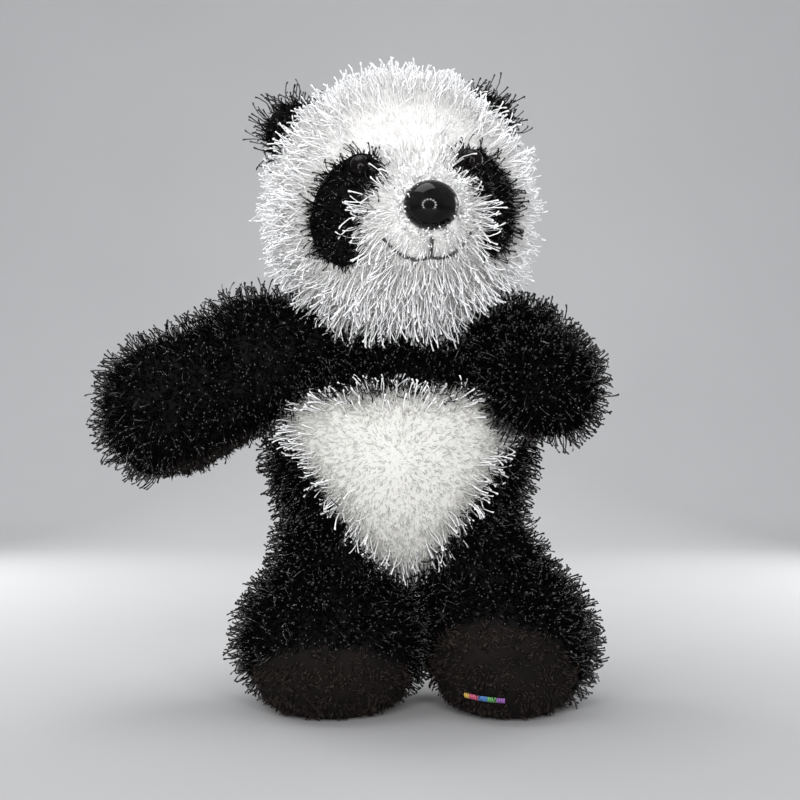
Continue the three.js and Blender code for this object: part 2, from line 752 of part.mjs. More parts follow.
function hookOutline() {
  const { neck, shoulder, mouthTop, wire: bar } = hook;
  const shape = new THREE.Shape();
  shape.moveTo(-hookHalf, -shoulder);
  shape.quadraticCurveTo(-hookHalf, -1, -neck, 0);
  shape.lineTo(neck, 0);
  shape.quadraticCurveTo(hookHalf, -1, hookHalf, -shoulder + 1);
  shape.lineTo(hookHalf, -mouthTop);
  shape.lineTo(hookInside, -mouthTop);
  shape.quadraticCurveTo(0, -bar, -hookInside, -mouthTop - 1);
  shape.lineTo(-hookInside, -hookBend);
  shape.absarc(0, -hookBend, hookInside, Math.PI, 2 * Math.PI, false);
  shape.lineTo(hookHalf, -hookBend);
  shape.absarc(0, -hookBend, hookHalf, 0, -Math.PI, true);
  return shape;
}

const pinPlace = new THREE.Vector3(0, hookHalf - hook.wire / 2, hookTop - gate.pinDown);

// A rod along X that is centred on the gate's pin.
function pinRod(radius, length, sides) {
  return at(rod(radius, length, sides).rotateZ(-Math.PI / 2).translate(-length / 2, 0, 0), pinPlace);
}

function hookShape() {
  const options = {
    depth: hook.depth - 2 * hook.bevel,
    bevelThickness: hook.bevel,
    bevelSize: hook.bevel,
    bevelOffset: -hook.bevel,
    bevelSegments: 2,
    curveSegments: 5,
  };
  const bar = new THREE.ExtrudeGeometry(hookOutline(), options).translate(0, 0, hook.bevel - hook.depth / 2);
  const body = bar.rotateY(Math.PI / 2).rotateX(Math.PI / 2);
  const stem = rod(hook.stemRadius, hook.stemLength, 12).rotateX(Math.PI / 2).translate(0, 0, -1);
  const knob = rod(hook.knobRadius, hook.knobHeight, 12).rotateX(Math.PI / 2);
  const knobPlace = new THREE.Vector3(0, 0, hook.stemLength - 1 - hook.knobHeight / 2);
  const placed = at(join(body, stem, at(knob, knobPlace)), new THREE.Vector3(0, 0, hookTop));
  const slotPlace = pinPlace.clone().add(new THREE.Vector3(0, 1.9, -0.4));
  const slot = block(gate.slot, gate.slotLength, gate.slotHeight, slotPlace);
  return cut(placed, slot, pinRod(gate.pinHole, through, 10));
}

function gateShape() {
  const y = pinPlace.y;
  const z = pinPlace.z;
  const low = hookTop - hookBend + seamGap;
  const half = gate.thickness / 2;
  const tongue = new THREE.Shape();
  tongue.moveTo(y + gate.tongueEnd, z);
  tongue.absarc(y, z, gate.tongueEnd, 0, Math.PI, false);
  tongue.lineTo(y - half, z - gate.tongueLength);
  tongue.lineTo(y + half, z - gate.tongueLength);
  const bar = new THREE.Shape();
  bar.moveTo(y - half, low);
  bar.lineTo(y + half, low);
  bar.lineTo(y + half, z - gate.barTop);
  bar.lineTo(y - half, z - gate.barTop);
  const slotSide = (gate.slot - gate.tongue) / 2 - seamGap;
  const thin = standing(tongue, gate.tongue, 4).translate(-slotSide, 0, 0);
  return cut(join(thin, standing(bar, gate.depth)), pinRod(gate.pinHole, through, 10));
}

function gatePinShape() {
  const reach = hook.depth / 2 + seamGap + gate.pinHead / 2;
  const pinHead = pinRod(gate.pinHeadRadius, gate.pinHead, 10);
  const heads = [-reach, reach].map((x) => at(pinHead, new THREE.Vector3(x, 0, 0)));
  return join(pinRod(gate.pinRadius, 2 * reach, 8), ...heads);
}

function gateSpringShape() {
  const coil = washer(gate.pinHole, spring.radius, spring.length, 12).rotateZ(Math.PI / 2);
  return at(coil, pinPlace.clone().add(new THREE.Vector3(spring.beside, 0, 0)));
}

// Centre line of the flat wire of a split ring: nearly two turns that cross over once.
class SplitRingPath extends THREE.Curve {
  getPoint(t, target = new THREE.Vector3()) {
    const crossing = 20;
    const angle = crossing + 3 + t * (720 - 2 * crossing - 6);
    const step = THREE.MathUtils.smoothstep(angle, 360 - crossing, 360 + crossing) - 0.5;
    const radius = ring.outerRadius - ring.wire / 2;
    const offset = step * (ring.turnThickness + ring.turnGap);
    return target.set(radius * Math.cos(rad(angle)), offset, radius * Math.sin(rad(angle)));
  }
}

const ringTop = hookTop - hook.length + hook.wire + ring.slack;
const ringCentre = new THREE.Vector3(0, 0, ringTop - ring.outerRadius + ring.wire);

function splitRingShape() {
  const across = ring.turnThickness / 2;
  const deep = ring.wire / 2;
  const section = new THREE.Shape();
  section.moveTo(-across, -deep);
  section.lineTo(across, -deep);
  section.lineTo(across, deep);
  section.lineTo(-across, deep);
  const options = { steps: 44, extrudePath: new SplitRingPath(), curveSegments: 1 };
  return at(new THREE.ExtrudeGeometry(section, options), ringCentre);
}

piece(hookGroup, 'hang_loop', ribbonShape(), ribbonCloth);
piece(hookGroup, 'swivel_eye', eyeFrameShape(), nickel);
piece(hookGroup, 'hook_body', hookShape(), nickel);
piece(hookGroup, 'hook_gate', gateShape(), nickel);
piece(hookGroup, 'gate_pin', gatePinShape(), nickel);
piece(hookGroup, 'gate_spring', gateSpringShape(), springSteel);
piece(hookGroup, 'split_ring', splitRingShape(), nickel);

// ---------------------------------------------------------------- origin at the middle of the footprint
toy.updateMatrixWorld(true);
const box = new THREE.Box3().setFromObject(toy, true);
const object = new THREE.Group();
toy.position.set(-(box.min.x + box.max.x) / 2, -(box.min.y + box.max.y) / 2, -box.min.z);
object.add(toy);

export default object;
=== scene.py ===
"""Looks of the plush keychain: stuffed skins, a long pile made of real fibres, and nickel hardware."""

import json
import math

import bmesh
import bpy
import numpy as np
from mathutils import Matrix, Vector
from mathutils.bvhtree import BVHTree


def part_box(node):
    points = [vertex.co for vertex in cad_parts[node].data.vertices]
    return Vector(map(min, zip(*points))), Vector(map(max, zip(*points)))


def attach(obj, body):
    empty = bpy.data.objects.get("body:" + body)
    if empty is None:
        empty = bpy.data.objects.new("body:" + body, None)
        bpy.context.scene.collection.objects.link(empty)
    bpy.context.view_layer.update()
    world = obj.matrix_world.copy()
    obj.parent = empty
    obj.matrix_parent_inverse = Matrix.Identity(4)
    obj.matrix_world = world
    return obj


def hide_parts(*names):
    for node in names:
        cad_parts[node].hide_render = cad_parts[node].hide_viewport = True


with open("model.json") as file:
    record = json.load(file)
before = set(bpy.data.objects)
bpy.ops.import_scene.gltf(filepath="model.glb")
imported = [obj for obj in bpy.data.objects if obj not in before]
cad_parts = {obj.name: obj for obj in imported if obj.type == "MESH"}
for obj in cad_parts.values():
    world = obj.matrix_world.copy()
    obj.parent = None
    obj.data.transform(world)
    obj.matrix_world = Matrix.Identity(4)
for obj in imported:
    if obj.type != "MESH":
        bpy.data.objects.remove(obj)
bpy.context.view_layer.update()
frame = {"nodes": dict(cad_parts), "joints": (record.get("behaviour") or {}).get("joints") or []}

# Shapes are worked out in millimetres and turned into metres when a mesh is made.
MM = 0.001
SIDES = {"left": -1, "right": 1}
rng = np.random.default_rng(20)

# ---------------------------------------------------------------- driving sizes, in millimetres
joints = {joint["name"]: np.array(joint["pos_m"]) / MM for joint in frame["joints"]}
NECK = joints["head_turn"]
HEAD_RADII = np.array([33.5, 31.5, 34.5])
HEAD_RISE = 35.1
HEAD_FORWARD = 1.0
HEAD_TURN = math.radians(11)
HEAD_ROLL = math.radians(5)
MUZZLE = np.array([0, -24, -6.2])
MUZZLE_RADII = np.array([15.5, 13, 14.5])
NOSE = np.array([0, -39.6, -3.8])
NOSE_RADII = np.array([7.1, 6.2, 6.4])
TORSO_RADII = np.array([34.5, 25.5, 33.5])
TORSO_BELOW_NECK = 33.1
ARM_ROOT = 13.5
ARMS = {
    "left": {"to_hand": (-33, -8, -15), "hand": 18, "fuller": (0.3, 17.5, 2.5)},
    "right": {"to_hand": (9, -20, -9.5), "hand": 12.5, "fuller": (0.3, 13.5, 1.5)},
}
PALM_DEPTH = 0.72
LEG_RADIUS = 15.5
FOOT_HEIGHT = 18
FOOT_FORWARD = 0.8
FEET = {
    "left": {"x": -19, "radii": (24, 26, 22), "tilt": 32, "lean": 0, "depth": 10.5},
    "right": {"x": 30, "radii": (21.5, 26, 22), "tilt": 42, "lean": 18, "depth": 9.5},
}


def unit(vectors):
    """Vectors of length one, for one vector or a list of them."""
    length = np.linalg.norm(vectors, axis=-1, keepdims=True)
    return vectors / np.maximum(length, 1e-9)


def smoothstep(low, high, value):
    t = np.clip((value - low) / (high - low), 0, 1)
    return t * t * (3 - 2 * t)


def turned(axis, degrees):
    """Matrix that turns about an axis of the frame."""
    return np.array(Matrix.Rotation(math.radians(degrees), 3, axis))


def beside_neck(x, y, z):
    """A point given from the toy's middle line and the floor."""
    return np.array([NECK[0] + x, NECK[1] + y, z])


HEAD_CENTRE = NECK + np.array([0, -HEAD_FORWARD, HEAD_RISE])
HEAD_AXES = turned("Z", math.degrees(HEAD_TURN)) @ turned("Y", -math.degrees(HEAD_ROLL))
TORSO_CENTRE = NECK - np.array([0, 0, TORSO_BELOW_NECK])


def in_head(points):
    """From the frame to the head's own axes, in which the face looks along -Y."""
    return (points - HEAD_CENTRE) @ HEAD_AXES


def from_head(points):
    return np.asarray(points, float) @ HEAD_AXES.T + HEAD_CENTRE


def way_from_head(directions):
    return np.asarray(directions, float) @ HEAD_AXES.T


# ---------------------------------------------------------------- closed shapes: (points, faces)
def grid_faces(rows, around):
    faces = []
    for row in range(rows - 1):
        for i in range(around):
            j = (i + 1) % around
            faces.append((row * around + i, row * around + j, (row + 1) * around + j, (row + 1) * around + i))
    return faces


def lathe(profile, around=40):
    """Turns (radius, height) pairs about +Z. The first and last are on the axis."""
    points = [(0.0, 0.0, profile[0][1])]
    for radius, height in profile[1:-1]:
        for i in range(around):
            angle = 2 * math.pi * i / around
            points.append((radius * math.cos(angle), radius * math.sin(angle), height))
    points.append((0.0, 0.0, profile[-1][1]))
    rows = len(profile) - 2
    faces = [tuple(n + 1 for n in face) for face in grid_faces(rows, around)]
    last = len(points) - 1
    first_ring = 1
    last_ring = 1 + (rows - 1) * around
    for i in range(around):
        j = (i + 1) % around
        faces.append((0, first_ring + j, first_ring + i))
        faces.append((last, last_ring + i, last_ring + j))
    return np.array(points), faces


def ellipsoid(radii, centre, axes=np.eye(3), rows=24, around=40):
    angles = [math.pi * (i / rows - 0.5) for i in range(rows + 1)]
    points, faces = lathe([(math.cos(angle), math.sin(angle)) for angle in angles], around)
    return points * radii @ axes.T + centre, faces


def axes_along(direction):
    """Matrix whose third column is the direction."""
    z = unit(np.asarray(direction, float))
    helper = np.array([1.0, 0, 0]) if abs(z[0]) < 0.9 else np.array([0, 1.0, 0])
    x = unit(np.cross(helper, z))
    return np.column_stack([x, np.cross(z, x), z])


def limb(start, direction, length, root_radius, end_radius):
    """Two balls and the cone that joins them."""
    rows = 12
    slope = math.asin((root_radius - end_radius) / length)
    profile = []
    for i in range(rows + 1):
        angle = -math.pi / 2 + (slope + math.pi / 2) * i / rows
        profile.append((root_radius * math.cos(angle), root_radius * math.sin(angle)))
    for i in range(rows + 1):
        angle = slope + (math.pi / 2 - slope) * i / rows
        profile.append((end_radius * math.cos(angle), length + end_radius * math.sin(angle)))
    points, faces = lathe(profile)
    return points @ axes_along(direction).T + np.asarray(start), faces


# ---------------------------------------------------------------- meshes and objects
def link(name, mesh):
    piece = bpy.data.objects.new(name, mesh)
    bpy.context.scene.collection.objects.link(piece)
    return piece


def piece_from(name, points, faces):
    """A smooth-shaded object, with its faces turned outward."""
    mesh = bpy.data.meshes.new(name)
    mesh.from_pydata((np.asarray(points) * MM).tolist(), [], [tuple(face) for face in faces])
    mesh.update()
    outward = bmesh.new()
    outward.from_mesh(mesh)
    bmesh.ops.recalc_face_normals(outward, faces=outward.faces)
    outward.to_mesh(mesh)
    outward.free()
    mesh.shade_smooth()
    return link(name, mesh)


def merged(*shapes):
    """Several shapes in one list of points and faces."""
    points = np.concatenate([shape[0] for shape in shapes])
    faces = []
    start = 0
    for shape_points, shape_faces in shapes:
        faces += [tuple(n + start for n in face) for face in shape_faces]
        start += len(shape_points)
    return points, faces


def with_modifiers(piece):
    """Replaces the piece's mesh by what its modifiers make of it."""
    seen = piece.evaluated_get(bpy.context.evaluated_depsgraph_get())
    mesh = bpy.data.meshes.new_from_object(seen)
    old = piece.data
    piece.modifiers.clear()
    piece.data = mesh
    mesh.name = piece.name
    bpy.data.meshes.remove(old)
    mesh.shade_smooth()
    return piece


def coords(piece):
    """The piece's points, in millimetres."""
    points = np.empty(len(piece.data.vertices) * 3)
    piece.data.vertices.foreach_get("co", points)
    return points.reshape(-1, 3) / MM


def set_coords(piece, points):
    piece.data.vertices.foreach_set("co", (points * MM).ravel())
    piece.data.update()


def normals_of(piece):
    normals = np.empty(len(piece.data.vertices) * 3)
    piece.data.vertex_normals.foreach_get("vector", normals)
    return normals.reshape(-1, 3)


def stuffed_skin(name, *shapes, voxel=2.0, soften=8):
    """One closed smooth skin around shapes that overlap."""
    skin = piece_from(name, *merged(*shapes))
    remesh = skin.modifiers.new("one skin", "REMESH")
    remesh.mode = "VOXEL"
    remesh.voxel_size = voxel * MM
    smooth = skin.modifiers.new("soften", "SMOOTH")
    smooth.iterations = soften
    smooth.factor = 0.5
    return with_modifiers(skin)


SWELL = {"most": 1.4, "pressure": 4.0, "frames": 20, "scale": 8.0}


def swell(skin, pinned):
    """Cloth under pressure: the skin swells between its seams, and no point moves further than "most".

    The simulation runs on a larger copy, because cloth settings are made for larger things.
    """
    rest = coords(skin)
    work = link("work", skin.data.copy())
    work.data.transform(Matrix.Scale(SWELL["scale"], 4))
    seams = work.vertex_groups.new(name="seams")
    seams.add([int(n) for n in np.nonzero(pinned)[0]], 1.0, "REPLACE")
    cloth = work.modifiers.new("stuffing", "CLOTH")
    cloth.settings.use_pressure = True
    cloth.settings.uniform_pressure_force = SWELL["pressure"]
    cloth.settings.vertex_group_mass = "seams"
    cloth.settings.effector_weights.gravity = 0
    for number in range(1, SWELL["frames"] + 1):
        bpy.context.scene.frame_set(number)
    seen = work.evaluated_get(bpy.context.evaluated_depsgraph_get())
    moved = np.empty(len(rest) * 3)
    seen.data.vertices.foreach_get("co", moved)
    move = moved.reshape(-1, 3) / SWELL["scale"] / MM - rest
    length = np.linalg.norm(move, axis=1, keepdims=True)
    set_coords(skin, rest + move * np.minimum(1, SWELL["most"] / np.maximum(length, 1e-9)))
    work_mesh = work.data
    bpy.data.objects.remove(work)
    bpy.data.meshes.remove(work_mesh)
    bpy.context.scene.frame_set(1)


def groove(skin, distance, width, depth):
    """Pulls the skin in along a seam. The distance is each point's distance from it."""
    pull = depth * np.exp(-((distance / width) ** 2))
    set_coords(skin, coords(skin) - normals_of(skin) * pull[:, None])


def subdivide(piece):
    piece.modifiers.new("smooth", "SUBSURF").levels = 1
    return with_modifiers(piece)


def panel(name, skin, inside, lift, thickness):
    """A patch of cloth sewn on the skin: its part where inside(points) holds, lifted and made solid."""
    points = coords(skin)
    keep = inside(points)
    cloth = bmesh.new()
    cloth.from_mesh(skin.data)
    cloth.verts.ensure_lookup_table()
    outside = [vert for vert, kept in zip(cloth.verts, keep) if not kept]
    bmesh.ops.delete(cloth, geom=outside, context="VERTS")
    for _ in range(6):
        edge = [vert for vert in cloth.verts if vert.is_boundary]
        places = {}
        for vert in edge:
            near = [e.other_vert(vert).co for e in vert.link_edges if e.is_boundary]
            places[vert] = vert.co.lerp(sum(near, Vector()) / len(near), 0.5)
        for vert, place in places.items():
            vert.co = place
    cloth.normal_update()
    for vert in cloth.verts:
        vert.co += vert.normal * lift * MM
    mesh = bpy.data.meshes.new(name)
    cloth.to_mesh(mesh)
    cloth.free()
    piece = link(name, mesh)
    solid = piece.modifiers.new("thickness", "SOLIDIFY")
    solid.thickness = thickness * MM
    solid.offset = -1
    return with_modifiers(piece)


# ---------------------------------------------------------------- materials
FIBRE_MAP = "OFBake"
BAR_SPAN = (16, 28)
BAR_COLOURS = [
    (0.50, 0.34, 0.06),
    (0.45, 0.08, 0.15),
    (0.06, 0.17, 0.40),
    (0.10, 0.30, 0.09),
    (0.26, 0.10, 0.36),
]
# The colour sockets of a Mix node, which share their names with its number sockets.
MIX_FIRST, MIX_SECOND, MIX_RESULT = 6, 7, 2


def new_material(name):
    look = bpy.data.materials.new(name)
    look.use_nodes = True
    return look, look.node_tree, look.node_tree.nodes["Principled BSDF"]


def plug(tree, to_node, inputs):
    """Fills a node's sockets with numbers or other nodes' outputs. A name's _ stands for a space."""
    for name, value in inputs.items():
        socket = to_node.inputs[name.replace("_", " ")]
        if isinstance(value, bpy.types.NodeSocket):
            tree.links.new(value, socket)
        else:
            socket.default_value = value


def node(tree, kind, output, settings=(), **inputs):
    """Output of a new node. Settings are (property, value) pairs of the node itself."""
    made = tree.nodes.new("ShaderNode" + kind)
    for key, value in settings:
        setattr(made, key, value)
    plug(tree, made, inputs)
    return made.outputs[output]


def grey(level):
    return (level,) * 3


def ramp(tree, value, *stops, blend="LINEAR"):
    """Colour ramp; each stop is (position, colour)."""
    made = tree.nodes.new("ShaderNodeValToRGB")
    made.color_ramp.interpolation = blend
    tree.links.new(value, made.inputs["Fac"])
    while len(made.color_ramp.elements) < len(stops):
        made.color_ramp.elements.new(0.5)
    for element, (position, colour) in zip(made.color_ramp.elements, stops):
        element.position = position
        element.color = (*colour, 1)
    return made.outputs["Color"]


def along_axis(tree, axis, low, high):
    """From 0 to 1 between two places on an axis of the frame, in millimetres."""
    place = node(tree, "SeparateXYZ", axis, Vector=node(tree, "TexCoord", "Object"))
    return node(tree, "MapRange", "Result", Value=place, From_Min=low * MM, From_Max=high * MM)


def noise(tree, scale, detail=3.0, roughness=0.55):
    place = node(tree, "TexCoord", "Object")
    return node(tree, "TexNoise", "Fac", Vector=place, Scale=scale, Detail=detail, Roughness=roughness)


def multiplied(tree, first, second):
    made = tree.nodes.new("ShaderNodeMix")
    made.data_type = "RGBA"
    made.blend_type = "MULTIPLY"
    made.inputs[0].default_value = 1.0
    tree.links.new(first, made.inputs[MIX_FIRST])
    tree.links.new(second, made.inputs[MIX_SECOND])
    return made.outputs[MIX_RESULT]


def bump(tree, height, distance, strength=1.0):
    return node(tree, "Bump", "Normal", Height=height, Distance=distance * MM, Strength=strength)


def fibre_look(name, root, middle, tip, spread, roughness, specular):
    """Pile fibres: the colour runs from the root to the tip and differs from fibre to fibre. The darker roots
    are painted shade deep in the pile.

    The fibres' own map has the way along a fibre in U and one random number per fibre in V.
    """
    look, tree, shader = new_material(name)
    fibre_map = node(tree, "UVMap", "UV", [("uv_map", FIBRE_MAP)])
    along = node(tree, "SeparateXYZ", "X", Vector=fibre_map)
    own = node(tree, "SeparateXYZ", "Y", Vector=fibre_map)
    # Darker towards the root: painted shade between the fibres.
    colour = ramp(tree, along, (0.0, root), (0.55, middle), (1.0, tip))
    each = ramp(tree, own, (0.0, grey(1 - spread)), (1.0, grey(1.0)))
    plug(tree, shader, {"Base Color": multiplied(tree, colour, each), "Roughness": roughness,
                        "Specular IOR Level": specular})
    return look


def backing_look(name, dark, light):
    """Knitted backing cloth under the pile."""
    look, tree, shader = new_material(name)
    blotch = ramp(tree, noise(tree, 90), (0.3, dark), (0.7, light))
    knit = bump(tree, noise(tree, 1400, 2.0), 0.3, 0.8)
    plug(tree, shader, {"Base Color": blotch, "Roughness": 0.9, "Specular IOR Level": 0.1, "Normal": knit})
    return look


def moulded_look(name, colour, roughness, specular=0.5, transmission=0.0):
    """Moulded plastic with a faint uneven polish."""
    look, tree, shader = new_material(name)
    uneven = noise(tree, 260)
    brighter = tuple(min(1.0, c * 1.6 + 0.004) for c in colour)
    shade = ramp(tree, uneven, (0.35, colour), (0.75, brighter))
    polish = ramp(tree, uneven, (0.3, grey(roughness * 0.7)), (0.8, grey(roughness * 1.6)))
    plug(tree, shader, {"Base Color": shade, "Roughness": polish, "Specular IOR Level": specular,
                        "Transmission Weight": transmission})
    return look


def ridged_look(name, colour, direction, scale, distortion, dim, stops, roughness, sheen, depth):
    """Thread or cloth with fine ridges. The darker colour between them is painted shade."""
    look, tree, shader = new_material(name)
    place = node(tree, "TexCoord", "Object")
    ridges = node(tree, "TexWave", "Fac", [("bands_direction", direction)],
                  Vector=place, Scale=scale, Distortion=distortion)
    # Darker between the ridges: painted shade, which dim sets.
    shade = ramp(tree, ridges, (stops[0], tuple(c * dim for c in colour)), (stops[1], colour))
    plug(tree, shader, {"Base Color": shade, "Roughness": roughness, "Sheen Weight": sheen,
                        "Normal": bump(tree, ridges, depth)})
    return look


def banded_look(name):
    """Satin stitches in bands of several colours along their row."""
    look, tree, shader = new_material(name)
    low, high = BAR_SPAN
    along = along_axis(tree, "X", NECK[0] + low, NECK[0] + high)
    stops = [(n / len(BAR_COLOURS), colour) for n, colour in enumerate(BAR_COLOURS)]
    plug(tree, shader, {"Base Color": ramp(tree, along, *stops, blend="CONSTANT"), "Roughness": 0.4})
    return look


def metal_look(name, colour, roughness):
    """Plated metal with fine scratches and duller worn places."""
    look, tree, shader = new_material(name)
    worn = noise(tree, 120, 4.0)
    shade = ramp(tree, worn, (0.3, tuple(c * 0.8 for c in colour)), (0.65, colour))
    polish = ramp(tree, worn, (0.3, grey(roughness * 1.7)), (0.7, grey(roughness * 0.8)))
    scratches = bump(tree, noise(tree, 1800, 4.0, 0.7), 0.01, 0.6)
    plug(tree, shader, {"Base Color": shade, "Roughness": polish, "Metallic": 1.0, "Normal": scratches})
    return look


def filling_look(name, dark, light, scale):
    """Loose fibre or pellets inside the covers."""
    look, tree, shader = new_material(name)
    lumps = noise(tree, scale, 5.0, 0.65)
    shade = ramp(tree, lumps, (0.3, dark), (0.7, light))
    plug(tree, shader, {"Base Color": shade, "Roughness": 0.95, "Normal": bump(tree, lumps, 0.6)})
    return look


white_fibre = fibre_look("white fibre", (0.86, 0.85, 0.85), (0.90, 0.90, 0.90), (0.96, 0.96, 0.97),
                         spread=0.12, roughness=0.34, specular=0.5)
white_down = fibre_look("white down", (0.86, 0.85, 0.83), (0.87, 0.86, 0.85), (0.88, 0.87, 0.87),
                        spread=0.08, roughness=0.7, specular=0.15)
# The belly's felt-like pile is a darker copy of the white pile: painted shade, because the belly faces the
# ring lights head on.
shaded_white_felt = fibre_look("shaded white felt", (0.57, 0.565, 0.54), (0.60, 0.595, 0.57), (0.63, 0.625, 0.60),
                        spread=0.10, roughness=0.85, specular=0.05)
black_fibre = fibre_look("black fibre", (0.003, 0.003, 0.003), (0.005, 0.004, 0.004), (0.008, 0.007, 0.007),
                         spread=0.5, roughness=0.14, specular=0.5)
black_down = fibre_look("black down", (0.002, 0.002, 0.002), (0.002, 0.002, 0.002), (0.005, 0.004, 0.004),
                        spread=0.5, roughness=0.6, specular=0.05)
velour_fibre = fibre_look("velour fibre", (0.002, 0.002, 0.002), (0.010, 0.007, 0.006), (0.110, 0.078, 0.064),
                          spread=0.98, roughness=0.8, specular=0.2)
white_backing = backing_look("white backing cloth", (0.86, 0.86, 0.84), (0.92, 0.92, 0.90))
# Darker copy of the white backing for the belly: painted shade.
shaded_felt_backing = backing_look("shaded felt backing cloth", (0.57, 0.565, 0.54), (0.61, 0.605, 0.58))
black_backing = backing_look("black backing cloth", (0.003, 0.003, 0.003), (0.007, 0.006, 0.006))
velour_backing = backing_look("velour backing cloth", (0.004, 0.003, 0.003), (0.010, 0.008, 0.007))
nose_gloss = moulded_look("nose gloss", (0.001, 0.001, 0.001), 0.08, specular=0.2)
eye_gloss = moulded_look("eye gloss", (0.002, 0.001, 0.001), 0.12, specular=0.12)
clear_plastic = moulded_look("clear plastic", (0.75, 0.75, 0.72), 0.35, transmission=0.4)
bar_thread = banded_look("bar thread")
# dim is how dark the painted shade between the ridges is.
THREAD = {"direction": "DIAGONAL", "distortion": 1.5, "dim": 0.55, "stops": (0.2, 0.8), "roughness": 0.55,
          "sheen": 0.4, "depth": 0.08}
WOVEN = {"direction": "Y", "distortion": 0.4, "dim": 0.6, "stops": (0.1, 0.7), "roughness": 0.75,
         "sheen": 0.3, "depth": 0.12}
black_thread = ridged_look("black thread", (0.012, 0.012, 0.012), scale=900, **THREAD)
ribbon_cloth = ridged_look("ribbon cloth", (0.02, 0.02, 0.02), scale=420, **WOVEN)
label_cloth = ridged_look("label cloth", (0.85, 0.85, 0.83), scale=1100, **WOVEN)
nickel = metal_look("nickel plate", (0.78, 0.77, 0.74), 0.16)
spring_steel = metal_look("spring steel", (0.55, 0.55, 0.55), 0.28)
fibre_fill = filling_look("fibre fill", (0.78, 0.78, 0.76), (0.92, 0.92, 0.91), 500)
pellet_fill = filling_look("pellet fill", (0.62, 0.58, 0.50), (0.86, 0.82, 0.74), 900)


def dress(piece, look, body, slot, *replaced, fill=None):
    """Gives a piece its material and body, and hides the CAD nodes it replaces. The slot and the filling are
    not used.
    """
    piece.data.materials.clear()
    piece.data.materials.append(look)
    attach(piece, body)
    if replaced:
        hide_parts(*replaced)
    return piece


# ---------------------------------------------------------------- pile
ROOT_DEPTH = 0.5
FIBRE_CLEAR = 0.15
TUFT_BLOCK = 2000
TIP_REACH = 1.1
MOST_ROOTS = 20
LONG = {"steps": (0, 0.3, 0.6, 0.88, 1.0), "swelling": (0.75, 0.8, 0.85, 1.0, 1.8)}
SHORT = {"steps": (0, 0.55), "swelling": (1.0, 0.8)}
# Each kind's look, slot, width, curl, fibres in a tuft, pull of the tuft, and shape.
KINDS = {
    "white long": (white_fibre, "white_pile", 0.35, 0.45, 5, 0.45, LONG),
    "white down": (white_down, "white_pile", 0.21, 0.4, 6, 0.2, SHORT),
    "shaded white felt": (shaded_white_felt, "white_pile", 0.28, 0.7, 6, 0.2, SHORT),
    "black long": (black_fibre, "black_pile", 0.40, 0.5, 3, 0.35, LONG),
    "black down": (black_down, "black_pile", 0.42, 0.5, 5, 0.25, SHORT),
    "velour": (velour_fibre, "sole_velour", 0.48, 0.5, 8, 0.6, SHORT),
}


def roots_on(skin, count, mask):
    """Random places on the skin, even by area, with their outward directions."""
    mesh = skin.data
    mesh.calc_loop_triangles()
    corner = np.empty(len(mesh.loop_triangles) * 3, dtype=np.int32)
    mesh.loop_triangles.foreach_get("vertices", corner)
    corner = corner.reshape(-1, 3)
    points = coords(skin)
    normals = normals_of(skin)
    a, b, c = (points[corner[:, i]] for i in range(3))
    kept = mask((a + b + c) / 3)
    corner = corner[kept]
    a, b, c = (points[corner[:, i]] for i in range(3))
    area = np.linalg.norm(np.cross(b - a, c - a), axis=1) / 2
    count = int(min(count, area.sum() * MOST_ROOTS))
    pick = rng.choice(len(area), count, p=area / area.sum())
    u = rng.random((count, 1))
    v = rng.random((count, 1))
    over = (u + v) > 1
    u = np.where(over, 1 - u, u)
    v = np.where(over, 1 - v, v)
    w = 1 - u - v
    place = a[pick] * w + b[pick] * u + c[pick] * v
    outward = [normals[corner[pick, i]] for i in range(3)]
    return place, unit(outward[0] * w + outward[1] * u + outward[2] * v)


def combed(outward, flow, lean, wild):
    """Fibre directions: outward, leaning along the flow, each a little its own way."""
    along = flow - outward * np.sum(flow * outward, axis=1, keepdims=True)
    spread = rng.normal(size=outward.shape) * wild
    return unit(outward + unit(along) * np.reshape(lean, (-1, 1)) + spread)


def clumped(roots, tips, size, pull):
    """Tips drawn together in tufts. The size is about how many fibres a tuft has."""
    centres = rng.choice(len(roots), max(1, len(roots) // size), replace=False)
    nearest = np.empty(len(roots), dtype=np.int64)
    for start in range(0, len(roots), TUFT_BLOCK):
        part = roots[start:start + TUFT_BLOCK]
        gap = ((part[:, None, :] - roots[centres][None, :, :]) ** 2).sum(axis=2)
        nearest[start:start + TUFT_BLOCK] = centres[np.argmin(gap, axis=1)]
    strength = pull * (0.4 + 0.6 * rng.random((len(roots), 1)))
    return tips + (tips[nearest] - tips) * strength


def one_fibre_faces(rows, sides):
    """Triangles of one fibre: rings of points, a pointed tip after the last ring and a flat root."""
    faces = []
    for row in range(rows - 1):
        for i in range(sides):
            a, b = row * sides + i, row * sides + (i + 1) % sides
            faces += [(a, b, b + sides), (a, b + sides, a + sides)]
    last = (rows - 1) * sides
    tip = rows * sides
    faces += [(last + i, last + (i + 1) % sides, tip) for i in range(sides)]
    faces += [(0, i + 1, i) for i in range(1, sides - 1)]
    return np.array(faces, dtype=np.int32)


